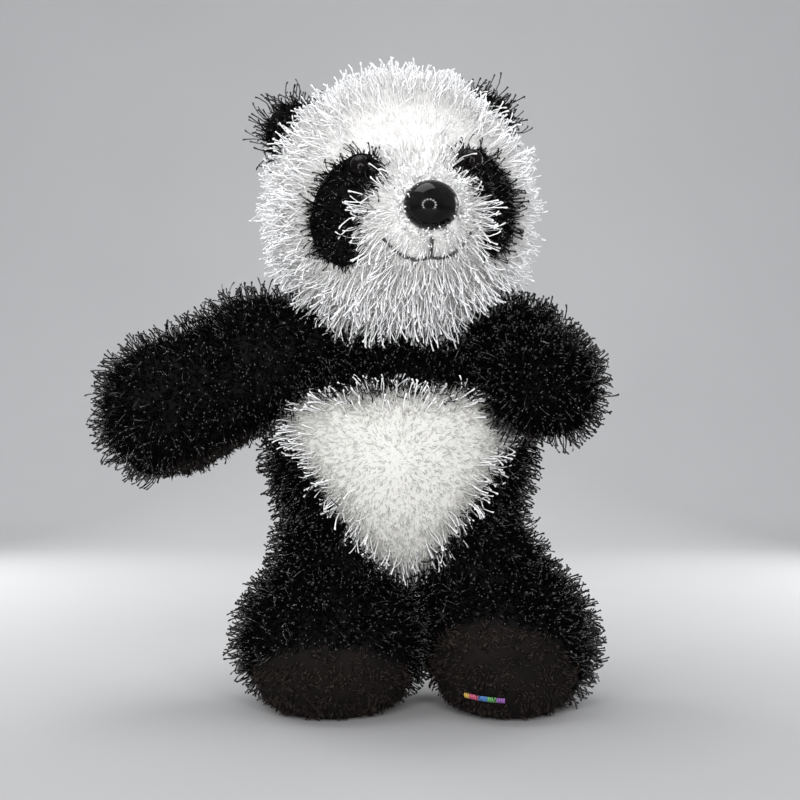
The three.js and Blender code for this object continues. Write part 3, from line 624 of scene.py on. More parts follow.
def fibre_mesh(name, roots, directions, lengths, width, curl, tuft, pull, steps, swelling, sides=3):
    """Closed fibres, one for each root, that grow thinner or thicker along their steps."""
    count = len(roots)
    lengths = np.reshape(lengths, (-1, 1))
    chord = clumped(roots, roots + directions * lengths, tuft, pull) - roots
    side = unit(np.cross(chord, rng.normal(size=(count, 3))))
    bow = side * lengths * curl * (rng.random((count, 1)) * 0.8 + 0.2)
    ahead = unit(chord)
    first = unit(np.cross(ahead, side + 1e-3))
    second = np.cross(ahead, first)
    thick = width * (0.8 + 0.4 * rng.random((count, 1))) / 2
    rings = []
    for step, wide in zip(steps, swelling):
        middle = roots + chord * step + bow * (step - step * step) * 2
        for i in range(sides):
            angle = 2 * math.pi * i / sides
            rings.append(middle + (first * math.cos(angle) + second * math.sin(angle)) * thick * wide)
    rings.append(roots + chord + ahead * thick * TIP_REACH)
    per = len(rings)
    points = np.stack(rings, axis=1).reshape(-1, 3)
    points[:, 2] = np.maximum(points[:, 2], FIBRE_CLEAR)
    starts = (np.arange(count, dtype=np.int32) * per)[:, None, None]
    faces = (one_fibre_faces(len(steps), sides)[None] + starts).reshape(-1, 3)
    along = np.concatenate([np.repeat(steps, sides), [1.0]])
    return mesh_of_fibres(name, points, faces, np.tile(along, count), np.repeat(rng.random(count), per))


def mesh_of_fibres(name, points, faces, along, own):
    """Builds the mesh at once, with the map that the fibre materials read."""
    mesh = bpy.data.meshes.new(name)
    mesh.vertices.add(len(points))
    mesh.vertices.foreach_set("co", (points * MM).ravel())
    mesh.loops.add(len(faces) * 3)
    mesh.loops.foreach_set("vertex_index", faces.ravel())
    mesh.polygons.add(len(faces))
    mesh.polygons.foreach_set("loop_start", np.arange(0, len(faces) * 3, 3, dtype=np.int32))
    mesh.update(calc_edges=True)
    layer = mesh.uv_layers.new(name=FIBRE_MAP)
    corner = faces.ravel()
    pairs = np.stack([0.02 + 0.96 * along[corner], 0.02 + 0.96 * own[corner]], axis=1)
    layer.uv.foreach_set("vector", pairs.astype(np.float32).ravel())
    mesh.shade_smooth()
    mesh.validate()
    return link(name, mesh)


def grow(name, kind, skin, mask, style, body, count):
    """Grows one piece of pile. The style gives (directions, lengths) from the roots and their normals."""
    look, slot, width, curl, tuft, pull, shape = KINDS[kind]
    roots, outward = roots_on(skin, count, mask)
    directions, lengths = style(roots, outward)
    start = roots - outward * ROOT_DEPTH
    pile = fibre_mesh(name, start, directions, lengths, width, curl, tuft, pull, **shape)
    return dress(pile, look, body, slot)


def everywhere(points):
    return np.ones(len(points), dtype=bool)


def both(*masks):
    """The mask that holds where all the masks hold."""
    return lambda points: np.logical_and.reduce([mask(points) for mask in masks])


def varied(length, count, low=0.7, high=1.2):
    """Lengths around one length, different for each fibre."""
    return length * (low + (high - low) * rng.random(count))


def downward(points):
    return np.tile([0.0, 0.0, -1.0], (len(points), 1))


def brushed(points):
    """This way and that, as velour lies."""
    return np.column_stack([np.sin(points[:, 0] * 0.55), np.zeros(len(points)), np.cos(points[:, 2] * 0.6)])


def even_style(flow, lean, wild, length, low=0.7, high=1.2):
    """A style that is the same all over its piece."""
    def style(roots, outward):
        return combed(outward, flow(roots), lean, wild), varied(length, len(roots), low, high)
    return style


velour_style = even_style(brushed, lean=0.7, wild=0.6, length=2.5, low=0.5, high=1.3)
black_long_style = even_style(downward, lean=0.25, wild=0.4, length=6.8, low=0.6, high=1.2)
black_down_style = even_style(downward, lean=0.25, wild=0.5, length=3.2)


# ---------------------------------------------------------------- swept shapes
def closed(rings):
    """A closed shape through rings of points, with flat ends."""
    around = len(rings[0])
    last = (len(rings) - 1) * around
    ends = [tuple(range(around))[::-1], tuple(range(last, last + around))]
    return np.concatenate(rings), grid_faces(len(rings), around) + ends


def way_along(path):
    """How far along the path each of its points is."""
    return np.concatenate([[0], np.cumsum(np.linalg.norm(np.diff(path, axis=0), axis=1))])


def sideways(path):
    """Two directions across the path at each of its points."""
    ahead = unit(np.gradient(path, axis=0))
    side = unit(np.cross(ahead, np.array([0.31, 0.57, 0.76])))
    return side, np.cross(ahead, side)


def tube(path, radius, sides=8):
    """A closed round thread or wire along the path's points."""
    path = np.asarray(path, float)
    angle = (2 * math.pi * np.arange(sides) / sides)[:, None]
    return closed([place + (side * np.cos(angle) + up * np.sin(angle)) * radius
                   for place, side, up in zip(path, *sideways(path))])


def twisted(path, radius, plies=3, pitch=2.2, sides=6):
    """A plied thread along the path's points: its plies wind round each other."""
    side, up = sideways(path)
    made = []
    for ply in range(plies):
        angle = (2 * math.pi * (way_along(path) / pitch + ply / plies))[:, None]
        strand = path + (side * np.cos(angle) + up * np.sin(angle)) * radius * 0.5
        made.append(tube(strand, radius * 0.55, sides))
    return merged(*made)


def curve_through(corners, steps=12):
    """Smooth path through a few points."""
    corners = np.asarray(corners, float)
    padded = np.concatenate([[2 * corners[0] - corners[1]], corners, [2 * corners[-1] - corners[-2]]])
    path = []
    for n in range(1, len(padded) - 2):
        p0, p1, p2, p3 = padded[n - 1:n + 3]
        for i in range(steps):
            t = i / steps
            path.append(0.5 * (2 * p1 + (p2 - p0) * t + (2 * p0 - 5 * p1 + 4 * p2 - p3) * t * t
                               + (3 * p1 - p0 - 3 * p2 + p3) * t ** 3))
    path.append(corners[-1])
    return np.array(path)


def rounded_section(width, height, squareness, sides=16, start=0.0):
    """Points of a rectangle with rounded corners. At squareness 0 it is an ellipse, near 1 a rectangle."""
    section = []
    for i in range(sides):
        angle = 2 * math.pi * (i + start) / sides
        reach = max(abs(math.cos(angle)), abs(math.sin(angle))) ** squareness
        section.append((math.cos(angle) / reach * width / 2, math.sin(angle) / reach * height / 2))
    return np.array(section)


def band(path, width, thickness):
    """A closed band with rounded edges along a path in the plane X = 0. Its width lies along X."""
    over = unit(np.cross(unit(np.gradient(path, axis=0)), (1, 0, 0)))
    section = rounded_section(width, 1, 0.9, start=0.5)
    rings = []
    for place, up, thick in zip(path, over, np.broadcast_to(thickness, len(path))):
        rings.append(place + section[:, :1] * np.array([1, 0, 0]) + section[:, 1:] * up * thick)
    return closed(rings)


def evenly(path, step):
    """The same path with points the same distance apart, and how far along it each one is."""
    way = way_along(path)
    even = np.linspace(0, way[-1], int(way[-1] / step))
    return np.column_stack([np.interp(even, way, path[:, i]) for i in range(3)]), even


# ---------------------------------------------------------------- camera, light and stage
CAMERA_DISTANCE = 390
CAMERA_HEIGHT = 86.5
VIEW_WIDTH = 226
SENSOR = 36
RING_LIGHTS = 14
RING_RADIUS = 150
RING_WATTS = 2.25
AIM = (0, 0, 90)
STAGE = {"front": -1500, "bend": 420, "bend_radius": 300, "top": 1800, "half_width": 1600, "bend_steps": 12}


def add_camera():
    data = bpy.data.cameras.new("camera")
    data.sensor_width = SENSOR
    data.lens = SENSOR * CAMERA_DISTANCE / VIEW_WIDTH
    data.clip_start = 0.01
    camera = bpy.data.objects.new("camera", data)
    camera.location = Vector(beside_neck(0, -CAMERA_DISTANCE, CAMERA_HEIGHT)) * MM
    camera.rotation_euler = (math.radians(90), 0, 0)
    bpy.context.scene.collection.objects.link(camera)
    bpy.context.scene.camera = camera


def add_area(name, place, size, watts, shape="SQUARE"):
    """A light that faces the middle of the toy."""
    data = bpy.data.lights.new(name, "AREA")
    data.shape = shape
    data.size = size * MM
    data.energy = watts
    light = bpy.data.objects.new(name, data)
    light.location = Vector(beside_neck(*place)) * MM
    to_aim = Vector(beside_neck(*AIM)) * MM - light.location
    light.rotation_euler = to_aim.to_track_quat("-Z", "Y").to_euler()
    light.visible_camera = False
    bpy.context.scene.collection.objects.link(light)


def add_stage():
    """Pale floor that curves up into a backdrop and is a little darker in front. The darker front is painted
    shade that holds down the ring lights' strong light on the near floor.
    """
    bend, radius, steps = STAGE["bend"], STAGE["bend_radius"], STAGE["bend_steps"]
    profile = [(STAGE["front"], 0.0), (bend, 0.0)]
    for i in range(1, steps + 1):
        angle = math.pi / 2 * i / steps
        profile.append((bend + radius * math.sin(angle), radius - radius * math.cos(angle)))
    profile.append((bend + radius, STAGE["top"]))
    points = []
    for x in (-STAGE["half_width"], STAGE["half_width"]):
        points += [beside_neck(x, y, z) for y, z in profile]
    row = len(profile)
    faces = [(i, i + 1, row + i + 1, row + i) for i in range(row - 1)]
    floor = piece_from("floor", points, faces)
    look, tree, shader = new_material("pale stage")
    # Darker towards the front: painted shade against the ring lights.
    pale = ramp(tree, along_axis(tree, "Y", -100, 500), (0.0, (0.36, 0.36, 0.365)), (1.0, (0.71, 0.71, 0.71)))
    faint = ramp(tree, noise(tree, 6, 4.0), (0.3, grey(0.96)), (0.7, grey(1.0)))
    plug(tree, shader, {"Base Color": multiplied(tree, pale, faint), "Roughness": 0.75})
    floor.data.materials.append(look)


def add_lights():
    """Soft surroundings, weak lights from above and behind, and a ring of small lights around the camera."""
    world = bpy.data.worlds.new("studio")
    world.use_nodes = True
    sky = world.node_tree.nodes["Background"]
    plug(world.node_tree, sky, {"Color": (0.93, 0.95, 1.0, 1), "Strength": 0.45})
    bpy.context.scene.world = world
    bpy.context.scene.view_settings.view_transform = "Standard"
    add_area("top", (-120, -60, 620), size=420, watts=1.9)
    for sign in SIDES.values():
        add_area(f"rear_{sign}", (sign * 330, 260, 190), size=220, watts=0.9)
    for i in range(RING_LIGHTS):
        angle = 2 * math.pi * i / RING_LIGHTS
        place = (RING_RADIUS * math.cos(angle) - 12, -370, CAMERA_HEIGHT + 14 + RING_RADIUS * math.sin(angle))
        add_area(f"ring_{i}", place, size=48, watts=RING_WATTS / RING_LIGHTS, shape="DISK")


add_camera()
add_stage()
add_lights()


# ---------------------------------------------------------------- head
HEAD_SEAM_Y = 3
MUZZLE_EDGE = 0.5
NOSE_SEAT = {"radii": (10.0, 6.5, 9.0), "behind": 4.5}
NOSE_SHANK = {"radius": 1.4, "length": 14.5}
EYE_SHANK = {"radius": 0.9, "length": 6.8}
SHANK_RIBS = 6
MOUTH_LIFT = 0.9
MOUTH_CLEAR = {"long": 1.2, "down": 0.5}
NOSE_CLEAR = {"long": 9.0, "down": 7.0}
NOSE_RIM = {"inner": 6.4, "outer": 9.6, "ahead": 4}
PATCH = {"azimuth": 40, "elevation": -3, "half_width": 11, "half_height": 15.5, "narrow": 0.08, "tilt": 30}
EYE = {"azimuth": 29, "elevation": 16, "radius": 3.0, "lift": 0.1}
EAR = {"azimuth": 96, "elevation": 41, "radius": 9, "thickness": 3.4, "lift": 1.5,
       "front_in": 2.2, "back_out": 0.6}
MOUTH_DROP = [(0, -22), (0, -34), (0, -46)]
MOUTH_SMILE = [(0, -46), (22, -47), (42, -36), (55, -17)]


def on_skull(azimuth, elevation, lift=0.0):
    """Point and outward direction on the skull in its own axes, azimuth from the face towards +X."""
    a, e = math.radians(azimuth), math.radians(elevation)
    way = np.array([math.sin(a) * math.cos(e), -math.cos(a) * math.cos(e), math.sin(e)])
    point = way / np.linalg.norm(way / HEAD_RADII)
    outward = unit(point / HEAD_RADII ** 2)
    return point + outward * lift, outward


def patch_reach(local, sign):
    """Under 1 inside the eye patch, which is a drop that is narrower at its top."""
    centre, outward = on_skull(sign * PATCH["azimuth"], PATCH["elevation"])
    around = math.atan2(outward[0], -outward[1])
    u = local[:, 0] * math.cos(around) + local[:, 1] * math.sin(around)
    ahead = -local[:, 0] * math.sin(around) + local[:, 1] * math.cos(around)
    tilt = math.radians(sign * PATCH["tilt"])
    above = local[:, 2] - centre[2]
    across = math.cos(tilt) * u + math.sin(tilt) * above
    height = -math.sin(tilt) * u + math.cos(tilt) * above
    tall = PATCH["half_height"]
    wide = PATCH["half_width"] * (1 - PATCH["narrow"] * np.clip(height / tall, -1, 1))
    reach = np.hypot(across / wide, height / tall)
    return np.where(ahead < 0, reach, 9.0)


def nose_gap_of(local):
    """Distance from the middle of the nose."""
    return np.linalg.norm(local - NOSE, axis=1)


def on_muzzle(local):
    return np.linalg.norm((local - MUZZLE) / (MUZZLE_RADII + MUZZLE_EDGE), axis=1) < 1


def on_eye(sign):
    """Point and outward direction of an eye in the head's axes."""
    return on_skull(sign * EYE["azimuth"], EYE["elevation"], EYE["lift"])


def make_head_skin():
    skull = ellipsoid(HEAD_RADII, HEAD_CENTRE, HEAD_AXES, rows=40, around=64)
    muzzle = ellipsoid(MUZZLE_RADII, from_head(MUZZLE), HEAD_AXES, rows=32, around=48)
    seat = ellipsoid(NOSE_SEAT["radii"], from_head(NOSE + np.array([0, NOSE_SEAT["behind"], 0])), HEAD_AXES)
    skin = stuffed_skin("head_skin", skull, muzzle, seat, voxel=2.0, soften=10)
    local = in_head(coords(skin))
    swell(skin, np.abs(local[:, 1] - HEAD_SEAM_Y) < 1.5)
    skin = subdivide(skin)
    local = in_head(coords(skin))
    groove(skin, np.abs(local[:, 1] - HEAD_SEAM_Y), width=1.3, depth=0.8)
    groove(skin, np.maximum(0, nose_gap_of(local) - 5), width=3.0, depth=1.5)
    return dress(skin, white_backing, "head", "white_pile",
                 "head_cover_front", "head_cover_back", "muzzle_cover", fill=0.9)


def button(name, place, direction, radii, shank, look, slot, replaced):
    """A moulded nose or eye: a polished ball on a ribbed shank that goes into the head."""
    tall, wide, deep = radii
    profile = [(0.0, -shank["length"]), (shank["radius"] * 0.8, -shank["length"])]
    for i in range(SHANK_RIBS):
        height = -shank["length"] + (shank["length"] - deep) * (i + 0.5) / SHANK_RIBS
        profile += [(shank["radius"], height), (shank["radius"] * 0.8, height + 0.3)]
    rows = 28
    for i in range(2, rows):
        angle = math.pi * (i / rows - 0.5)
        profile.append((math.cos(angle), deep * math.sin(angle)))
    profile.append((0.0, deep))
    points, faces = lathe(profile, 48)
    on_shank = points[:, 2] < -deep * 0.98
    points[:, 0] *= np.where(on_shank, 1.0, tall)
    points[:, 1] *= np.where(on_shank, 1.0, wide)
    place, direction = from_head(place), way_from_head(direction)
    piece = piece_from(name, points @ axes_along(direction).T + place, faces)
    dress(piece, look, "head", slot, replaced)


def make_nose():
    wide, deep, tall = NOSE_RADII
    button("nose_ball", NOSE, (0, -1, 0), (tall, wide, deep), NOSE_SHANK, nose_gloss, "nose_plastic", "nose")


def make_eyes():
    for side, sign in SIDES.items():
        button(f"eye_bead_{side}", *on_eye(sign), (EYE["radius"],) * 3, EYE_SHANK,
               eye_gloss, "eye_plastic", f"eye_{side}")


def make_patches(skin):
    patches = {}
    for side, sign in SIDES.items():
        def inside(points):
            local = in_head(points)
            return (patch_reach(local, sign) < 1) & ~on_muzzle(local)
        patch = panel(f"eye_patch_cloth_{side}", skin, inside, lift=0.6, thickness=0.9)
        patches[side] = dress(patch, black_backing, "head", "black_pile", f"eye_patch_{side}")
    return patches


def make_ears():
    ears = {}
    for side, sign in SIDES.items():
        point = on_skull(sign * EAR["azimuth"], EAR["elevation"], EAR["lift"])[0]
        points, faces = ellipsoid((EAR["radius"], EAR["thickness"], EAR["radius"]), point, rows=20, around=36)
        across = np.hypot(points[:, 0] - point[0], points[:, 2] - point[2]) / EAR["radius"]
        bulge = np.where(points[:, 1] < point[1], EAR["front_in"], -EAR["back_out"])
        points[:, 1] += bulge * (1 - across ** 2)
        ear = piece_from(f"ear_cloth_{side}", from_head(points), faces)
        ears[side] = dress(ear, black_backing, "head", "black_pile", f"ear_{side}", fill=0.4)
    return ears


def mouth_paths(skin):
    """The stitched mouth on the muzzle: a short line down from the nose and two curves."""
    tree = BVHTree.FromObject(skin, bpy.context.evaluated_depsgraph_get())
    centre = Vector(from_head(MUZZLE)) * MM

    def place(azimuth, elevation):
        a, e = math.radians(azimuth), math.radians(elevation)
        way = way_from_head((math.sin(a) * math.cos(e), -math.cos(a) * math.cos(e), math.sin(e)))
        hit = tree.ray_cast(centre, Vector(way))[0]
        return np.array(hit) / MM + way * MOUTH_LIFT

    paths = [curve_through([place(*corner) for corner in MOUTH_DROP])]
    for sign in SIDES.values():
        paths.append(curve_through([place(sign * azimuth, elevation) for azimuth, elevation in MOUTH_SMILE]))
    return paths


def make_mouth(paths):
    threads = [twisted(path, 0.5) for path in paths]
    thread = piece_from("mouth_stitch", *merged(*threads))
    dress(thread, black_thread, "head", "black_thread", "mouth_thread")


def near_path(points, path):
    """Distance of each point from the nearest point of a path."""
    gap = np.linalg.norm(points[:, None, :] - path[None, :, :], axis=2)
    return gap.min(axis=1)


# The head's pile is in quarters: each one's side, front or back, and numbers of long fibres and of down.
HEAD_QUARTERS = {
    "front_left": (-1, -1, 1950, 15500),
    "front_right": (1, -1, 1950, 15500),
    "back_left": (-1, 1, 2200, 11000),
    "back_right": (1, 1, 2200, 11000),
}


def head_quarter(sign, way):
    def mask(roots):
        local = in_head(roots)
        return (local[:, 0] * sign >= 0) & ((local[:, 1] - HEAD_SEAM_Y) * way >= 0)
    return mask


def clear_of_eye(sign):
    point = on_eye(sign)[0]
    return lambda roots: np.linalg.norm(in_head(roots) - point, axis=1) > EYE["radius"] + 0.1


def away_from_head(roots):
    return unit(roots - HEAD_CENTRE)


def away_from_face(roots):
    """Outward from the nose in front, downward behind, and hanging a little everywhere below."""
    local = in_head(roots)
    behind = smoothstep(-5, 20, local[:, 1])[:, None]
    hang = np.array([0, 0, -0.7]) * smoothstep(0, 25, -local[:, 2])[:, None]
    return way_from_head(unit(local - NOSE) * (1 - behind) + np.array([0, 0, -1.0]) * behind + hang)


def brow_of(local):
    """One on the smooth forehead, nothing elsewhere."""
    return smoothstep(4, 14, local[:, 2]) * (1 - smoothstep(-26, -8, local[:, 1]))


def facing(outward):
    """From 0 to 1, how much the directions point where the face looks."""
    return np.clip(-(outward @ HEAD_AXES)[:, 1], 0, 1)


def beside_nose(gap):
    """One next to the nose, nothing far from it."""
    return 1 - smoothstep(9, 20, gap)


def white_part(local):
    """True on the head outside the eye patches and the nose."""
    clear = (patch_reach(local, -1) > 1) & (patch_reach(local, 1) > 1) | on_muzzle(local)
    return clear & (nose_gap_of(local) > NOSE_CLEAR["down"])


def nose_rim(roots):
    local = in_head(roots)
    gap = nose_gap_of(local)
    in_front = local[:, 1] < MUZZLE[1] - NOSE_RIM["ahead"]
    return (gap > NOSE_RIM["inner"]) & (gap < NOSE_RIM["outer"]) & in_front


def rim_style(roots, outward):
    inward = (NOSE - in_head(roots)) * np.array([1, 0, 1])
    return combed(outward, way_from_head(unit(inward)), 0.45, 0.3), varied(5.5, len(roots), 0.6, 1.15)


def head_long_style(roots, outward):
    local = in_head(roots)
    gap = nose_gap_of(local)
    low = smoothstep(4, 28, -local[:, 2])
    lean = 0.35 + 0.9 * facing(outward) + 0.6 * beside_nose(gap) + 0.4 * low
    length = varied(3.0 + 5.2 * smoothstep(9, 17, gap), len(roots), 0.55, 1.2) * (1 + 0.35 * low)
    return combed(outward, away_from_face(roots), lean, 0.55), length


def head_down_style(roots, outward):
    local = in_head(roots)
    gap = nose_gap_of(local)
    brow = brow_of(local)
    lean = 0.4 + 1.0 * facing(outward) + 0.5 * beside_nose(gap) + 0.8 * brow
    length = varied((2.2 + 2.8 * smoothstep(8, 16, gap)) * (1 - 0.35 * brow), len(roots), 0.6, 1.25)
    return combed(outward, away_from_face(roots), lean, 0.6), length


def grow_head(skin, patches, ears, mouth):
    mouth_line = np.concatenate(mouth)[::2]

    def white_long(roots):
        local = in_head(roots)
        thinner = rng.random(len(roots)) > 0.93 * brow_of(local)
        off_nose = nose_gap_of(local) > NOSE_CLEAR["long"]
        return white_part(local) & thinner & off_nose & (near_path(roots, mouth_line) > MOUTH_CLEAR["long"])

    def white_down(roots):
        return white_part(in_head(roots)) & (near_path(roots, mouth_line) > MOUTH_CLEAR["down"])

    grow("nose_rim_pile", "white long", skin, nose_rim, rim_style, "head", count=190)

    for name, (sign, way, long_count, down_count) in HEAD_QUARTERS.items():
        long_place = both(white_long, head_quarter(sign, way))
        down_place = both(white_down, head_quarter(sign, way))
        grow(f"head_pile_{name}", "white long", skin, long_place, head_long_style, "head", count=long_count)
        grow(f"head_down_{name}", "white down", skin, down_place, head_down_style, "head", count=down_count)

    patch_style = even_style(away_from_face, lean=0.35, wild=0.35, length=4.6)
    patch_down_style = even_style(away_from_face, lean=0.35, wild=0.5, length=2.6)
    ear_style = even_style(away_from_head, lean=0.8, wild=0.4, length=6.5, low=0.5, high=1.35)
    ear_down_style = even_style(away_from_head, lean=0.5, wild=0.5, length=2.6)
    for side, sign in SIDES.items():
        clear = clear_of_eye(sign)
        patch, ear = patches[side], ears[side]
        grow(f"eye_patch_pile_{side}", "black long", patch, clear, patch_style, "head", count=420)
        grow(f"eye_patch_down_{side}", "black down", patch, clear, patch_down_style, "head", count=1300)
        grow(f"ear_pile_{side}", "black long", ear, everywhere, ear_style, "head", count=260)
        grow(f"ear_down_{side}", "black down", ear, everywhere, ear_down_style, "head", count=900)


# ---------------------------------------------------------------- torso
WAIST = 83.5
BELLY_LEFT, BELLY_RIGHT = -36, 34
BELLY_BOW = (4, 93)
BELLY_LEFT_BEND, BELLY_RIGHT_BEND = (-16, 62), (18, 58)
BELLY_TIP = (-4, 3.5, 36)
BELLY_MIDDLE = np.array([-1.0, 70.0])
TAIL = {"centre": (0, 22, 52), "radii": (6.5, 5.5, 6.5)}
NECK_PROFILE = [(0.0, -4.0), (8.6, -4.0), (9.4, -1.5), (8.8, 0.0), (9.4, 1.5), (8.6, 4.0), (0.0, 4.0)]


def bend(start, control, end, steps=10):
    """Part of a curve from start towards end, pulled to one side by the control point."""
    t = np.linspace(0, 1, steps, endpoint=False)[:, None]
    start, control, end = (np.array(p, float) for p in (start, control, end))
    return start * (1 - t) ** 2 + 2 * control * t * (1 - t) + end * t ** 2


def belly_outline():
    """Upside-down triangle with a bowed top edge, in (X from the middle line, Z)."""
    left_tip, right_tip, low = BELLY_TIP
    return np.concatenate([
        bend((BELLY_LEFT, WAIST), BELLY_BOW, (BELLY_RIGHT, WAIST)),
        bend((BELLY_RIGHT, WAIST), BELLY_RIGHT_BEND, (right_tip, low)),
        bend((left_tip, low), BELLY_LEFT_BEND, (BELLY_LEFT, WAIST)),
    ])


def inside_outline(flat, outline):
    """Even-odd test of points against a closed outline."""
    inside = np.zeros(len(flat), dtype=bool)
    for (x0, z0), (x1, z1) in zip(outline, np.roll(outline, -1, axis=0)):
        if z0 == z1:
            continue
        crosses = (flat[:, 1] < z0) != (flat[:, 1] < z1)
        inside ^= crosses & (flat[:, 0] < (x1 - x0) * (flat[:, 1] - z0) / (z1 - z0) + x0)
    return inside


def edge_gap(flat, outline):
    """Distance of points from the outline."""
    least = np.full(len(flat), 1e9)
    for start, end in zip(outline, np.roll(outline, -1, axis=0)):
        along = end - start
        t = np.clip(((flat - start) @ along) / max(along @ along, 1e-9), 0, 1)[:, None]
        least = np.minimum(least, np.linalg.norm(flat - start - along * t, axis=1))
    return least


BELLY = belly_outline()


def flat_of(points):
    return np.column_stack([points[:, 0] - NECK[0], points[:, 2]])


def on_belly(points):
    return (points[:, 1] < NECK[1]) & inside_outline(flat_of(points), BELLY)


def make_torso_skin():
    body = ellipsoid(TORSO_RADII, TORSO_CENTRE, rows=40, around=64)
    skin = stuffed_skin("torso_skin", body, voxel=2.2, soften=4)
    swell(skin, np.abs(coords(skin)[:, 1] - NECK[1]) < 1.6)
    skin = subdivide(skin)
    points = coords(skin)
    groove(skin, np.abs(points[:, 1] - NECK[1]), width=1.3, depth=0.8)
    front = np.where(points[:, 1] < NECK[1], edge_gap(flat_of(points), BELLY), 99)
    groove(skin, front, width=1.4, depth=0.8)
    return dress(skin, black_backing, "torso", "black_pile",
                 "chest_cover", "hip_cover_left", "hip_cover_right", "torso_cover_back", fill=0.9)


def make_belly(torso):
    belly = panel("belly_cloth", torso, on_belly, lift=0.7, thickness=1.0)
    return dress(belly, shaded_felt_backing, "torso", "white_pile", "belly_panel", fill=0.6)


def make_neck_skin():
    points, faces = lathe(NECK_PROFILE, 48)
    neck = piece_from("neck_gather", points + NECK, faces)
    return dress(neck, black_backing, "neck", "black_pile")


def make_tail():
    knot = ellipsoid(TAIL["radii"], beside_neck(*TAIL["centre"]), rows=20, around=32)
    tail = piece_from("tail_cloth", *knot)
    return dress(tail, black_backing, "torso", "black_pile", "tail", fill=0.8)


def clear_of_limbs(points):
    """True where the points are clear of every limb's root."""
    clear = np.ones(len(points), dtype=bool)
    for side in SIDES:
        for joint, reach in ((f"arm_{side}_raise", ARM_ROOT), (f"leg_{side}_forward", LEG_RADIUS)):
            clear &= np.linalg.norm(points - joints[joint], axis=1) > reach - 1
    return clear


def clear_of_torso(points):
    return np.linalg.norm((points - TORSO_CENTRE) / (TORSO_RADII - 1.5), axis=1) > 1


def behind_torso(points):
    return points[:, 1] > TORSO_CENTRE[1] + 19


def neck_side(points):
    return np.hypot(points[:, 0] - NECK[0], points[:, 1] - NECK[1]) > 8


def grow_torso(skin, belly, tail, neck):
    def belly_edge(roots):
        return edge_gap(flat_of(roots), BELLY)

    def belly_flow(roots):
        away = unit(flat_of(roots) - BELLY_MIDDLE)
        return np.column_stack([away[:, 0], np.zeros(len(roots)), away[:, 1] - 0.25])

    def fringe(roots):
        return on_belly(roots) & (belly_edge(roots) < 1.5 + 7 * rng.random(len(roots)) ** 2)

    fringe_style = even_style(belly_flow, lean=1.0, wild=0.35, length=6.4)

    def felt_style(roots, outward):
        edge = 1 - smoothstep(1.0, 8.0, belly_edge(roots))
        length = varied(2.0 + 2.2 * edge, len(roots), 0.6, 1.2)
        return combed(outward, belly_flow(roots), 1.9 - 0.9 * edge, 0.7), length

    def black(roots):
        return clear_of_limbs(roots) & ~on_belly(roots)

    halves = {"front": lambda roots: roots[:, 1] < NECK[1], "back": lambda roots: roots[:, 1] >= NECK[1]}
    for half, chosen in halves.items():
        place = both(black, chosen)
        grow(f"torso_pile_{half}", "black long", skin, place, black_long_style, "torso", count=1700)
        grow(f"torso_down_{half}", "black down", skin, place, black_down_style, "torso", count=6500)
    grow("belly_pile", "white long", belly, fringe, fringe_style, "torso", count=1300)
    grow("belly_down", "shaded white felt", belly, on_belly, felt_style, "torso", count=15000)
    grow("tail_pile", "black long", tail, behind_torso, black_long_style, "torso", count=260)
    grow("tail_down", "black down", tail, behind_torso, black_down_style, "torso", count=800)
    grow("neck_down", "black down", neck, neck_side, black_down_style, "neck", count=900)


# ---------------------------------------------------------------- arms
def make_arm(side):
    spec = ARMS[side]
    shoulder = joints[f"arm_{side}_raise"]
    to_hand = np.array(spec["to_hand"], float)
    way = unit(to_hand)
    shape = limb(shoulder, way, np.linalg.norm(to_hand), ARM_ROOT, spec["hand"])
    share, radius, rise = spec["fuller"]
    upper = ellipsoid((radius,) * 3, shoulder + to_hand * share + np.array([0, 0, rise]))
    skin = stuffed_skin(f"arm_skin_{side}", shape, upper, voxel=2.0, soften=10)
    seam_normal = unit(np.cross(way, (0, 0, 1)))
    swell(skin, np.abs((coords(skin) - shoulder) @ seam_normal) < 1.4)
    skin = subdivide(skin)
    groove(skin, np.abs((coords(skin) - shoulder) @ seam_normal), width=1.3, depth=0.7)
    body = f"arm_{side}"
    dress(skin, black_backing, body, "black_pile", f"arm_cover_{side}", fill=0.85)
    under = unit(np.array([0, 0, -1.0]) + way * way[2])
    edge = shoulder + to_hand + under * PALM_DEPTH * spec["hand"]

    def below_palm_edge(points):
        return (points - edge) @ under

    def on_palm(points):
        return below_palm_edge(points) > 0

    pad = panel(f"palm_cloth_{side}", skin, on_palm, lift=0.5, thickness=1.0)
    dress(pad, velour_backing, body, "sole_velour", f"palm_pad_{side}", fill=0.7)

    def long_place(roots):
        return clear_of_torso(roots) & (below_palm_edge(roots) < 0.5)

    def down_place(roots):
        return clear_of_torso(roots) & (below_palm_edge(roots) < 0)

    def along_arm(roots):
        return np.tile(way, (len(roots), 1))

    long_style = even_style(along_arm, lean=0.2, wild=0.4, length=6.8, low=0.6, high=1.2)
    down_style = even_style(along_arm, lean=0.2, wild=0.5, length=3.2)
    grow(f"arm_pile_{side}", "black long", skin, long_place, long_style, body, count=2300)
    grow(f"arm_down_{side}", "black down", skin, down_place, down_style, body, count=9000)
    grow(f"palm_velour_{side}", "velour", pad, everywhere, velour_style, body, count=3000)


# ---------------------------------------------------------------- legs
FLOOR_CLEAR = 0.4
PAD_CLEAR = 0.05
BAR = {"below": 64, "azimuth": -20, "half_span": 14, "half_width": 1.7, "stitches": 20}


def sole_plane(side):
    """A point on the sole's plane and its outward direction."""
    spec = FEET[side]
    tilt = math.radians(spec["tilt"])
    normal = turned("Y", spec["lean"]) @ np.array([0, -math.sin(tilt), -math.cos(tilt)])
    return foot_centre(side) + normal * spec["depth"], normal


def foot_centre(side):
    return beside_neck(FEET[side]["x"], -FOOT_FORWARD, FOOT_HEIGHT)


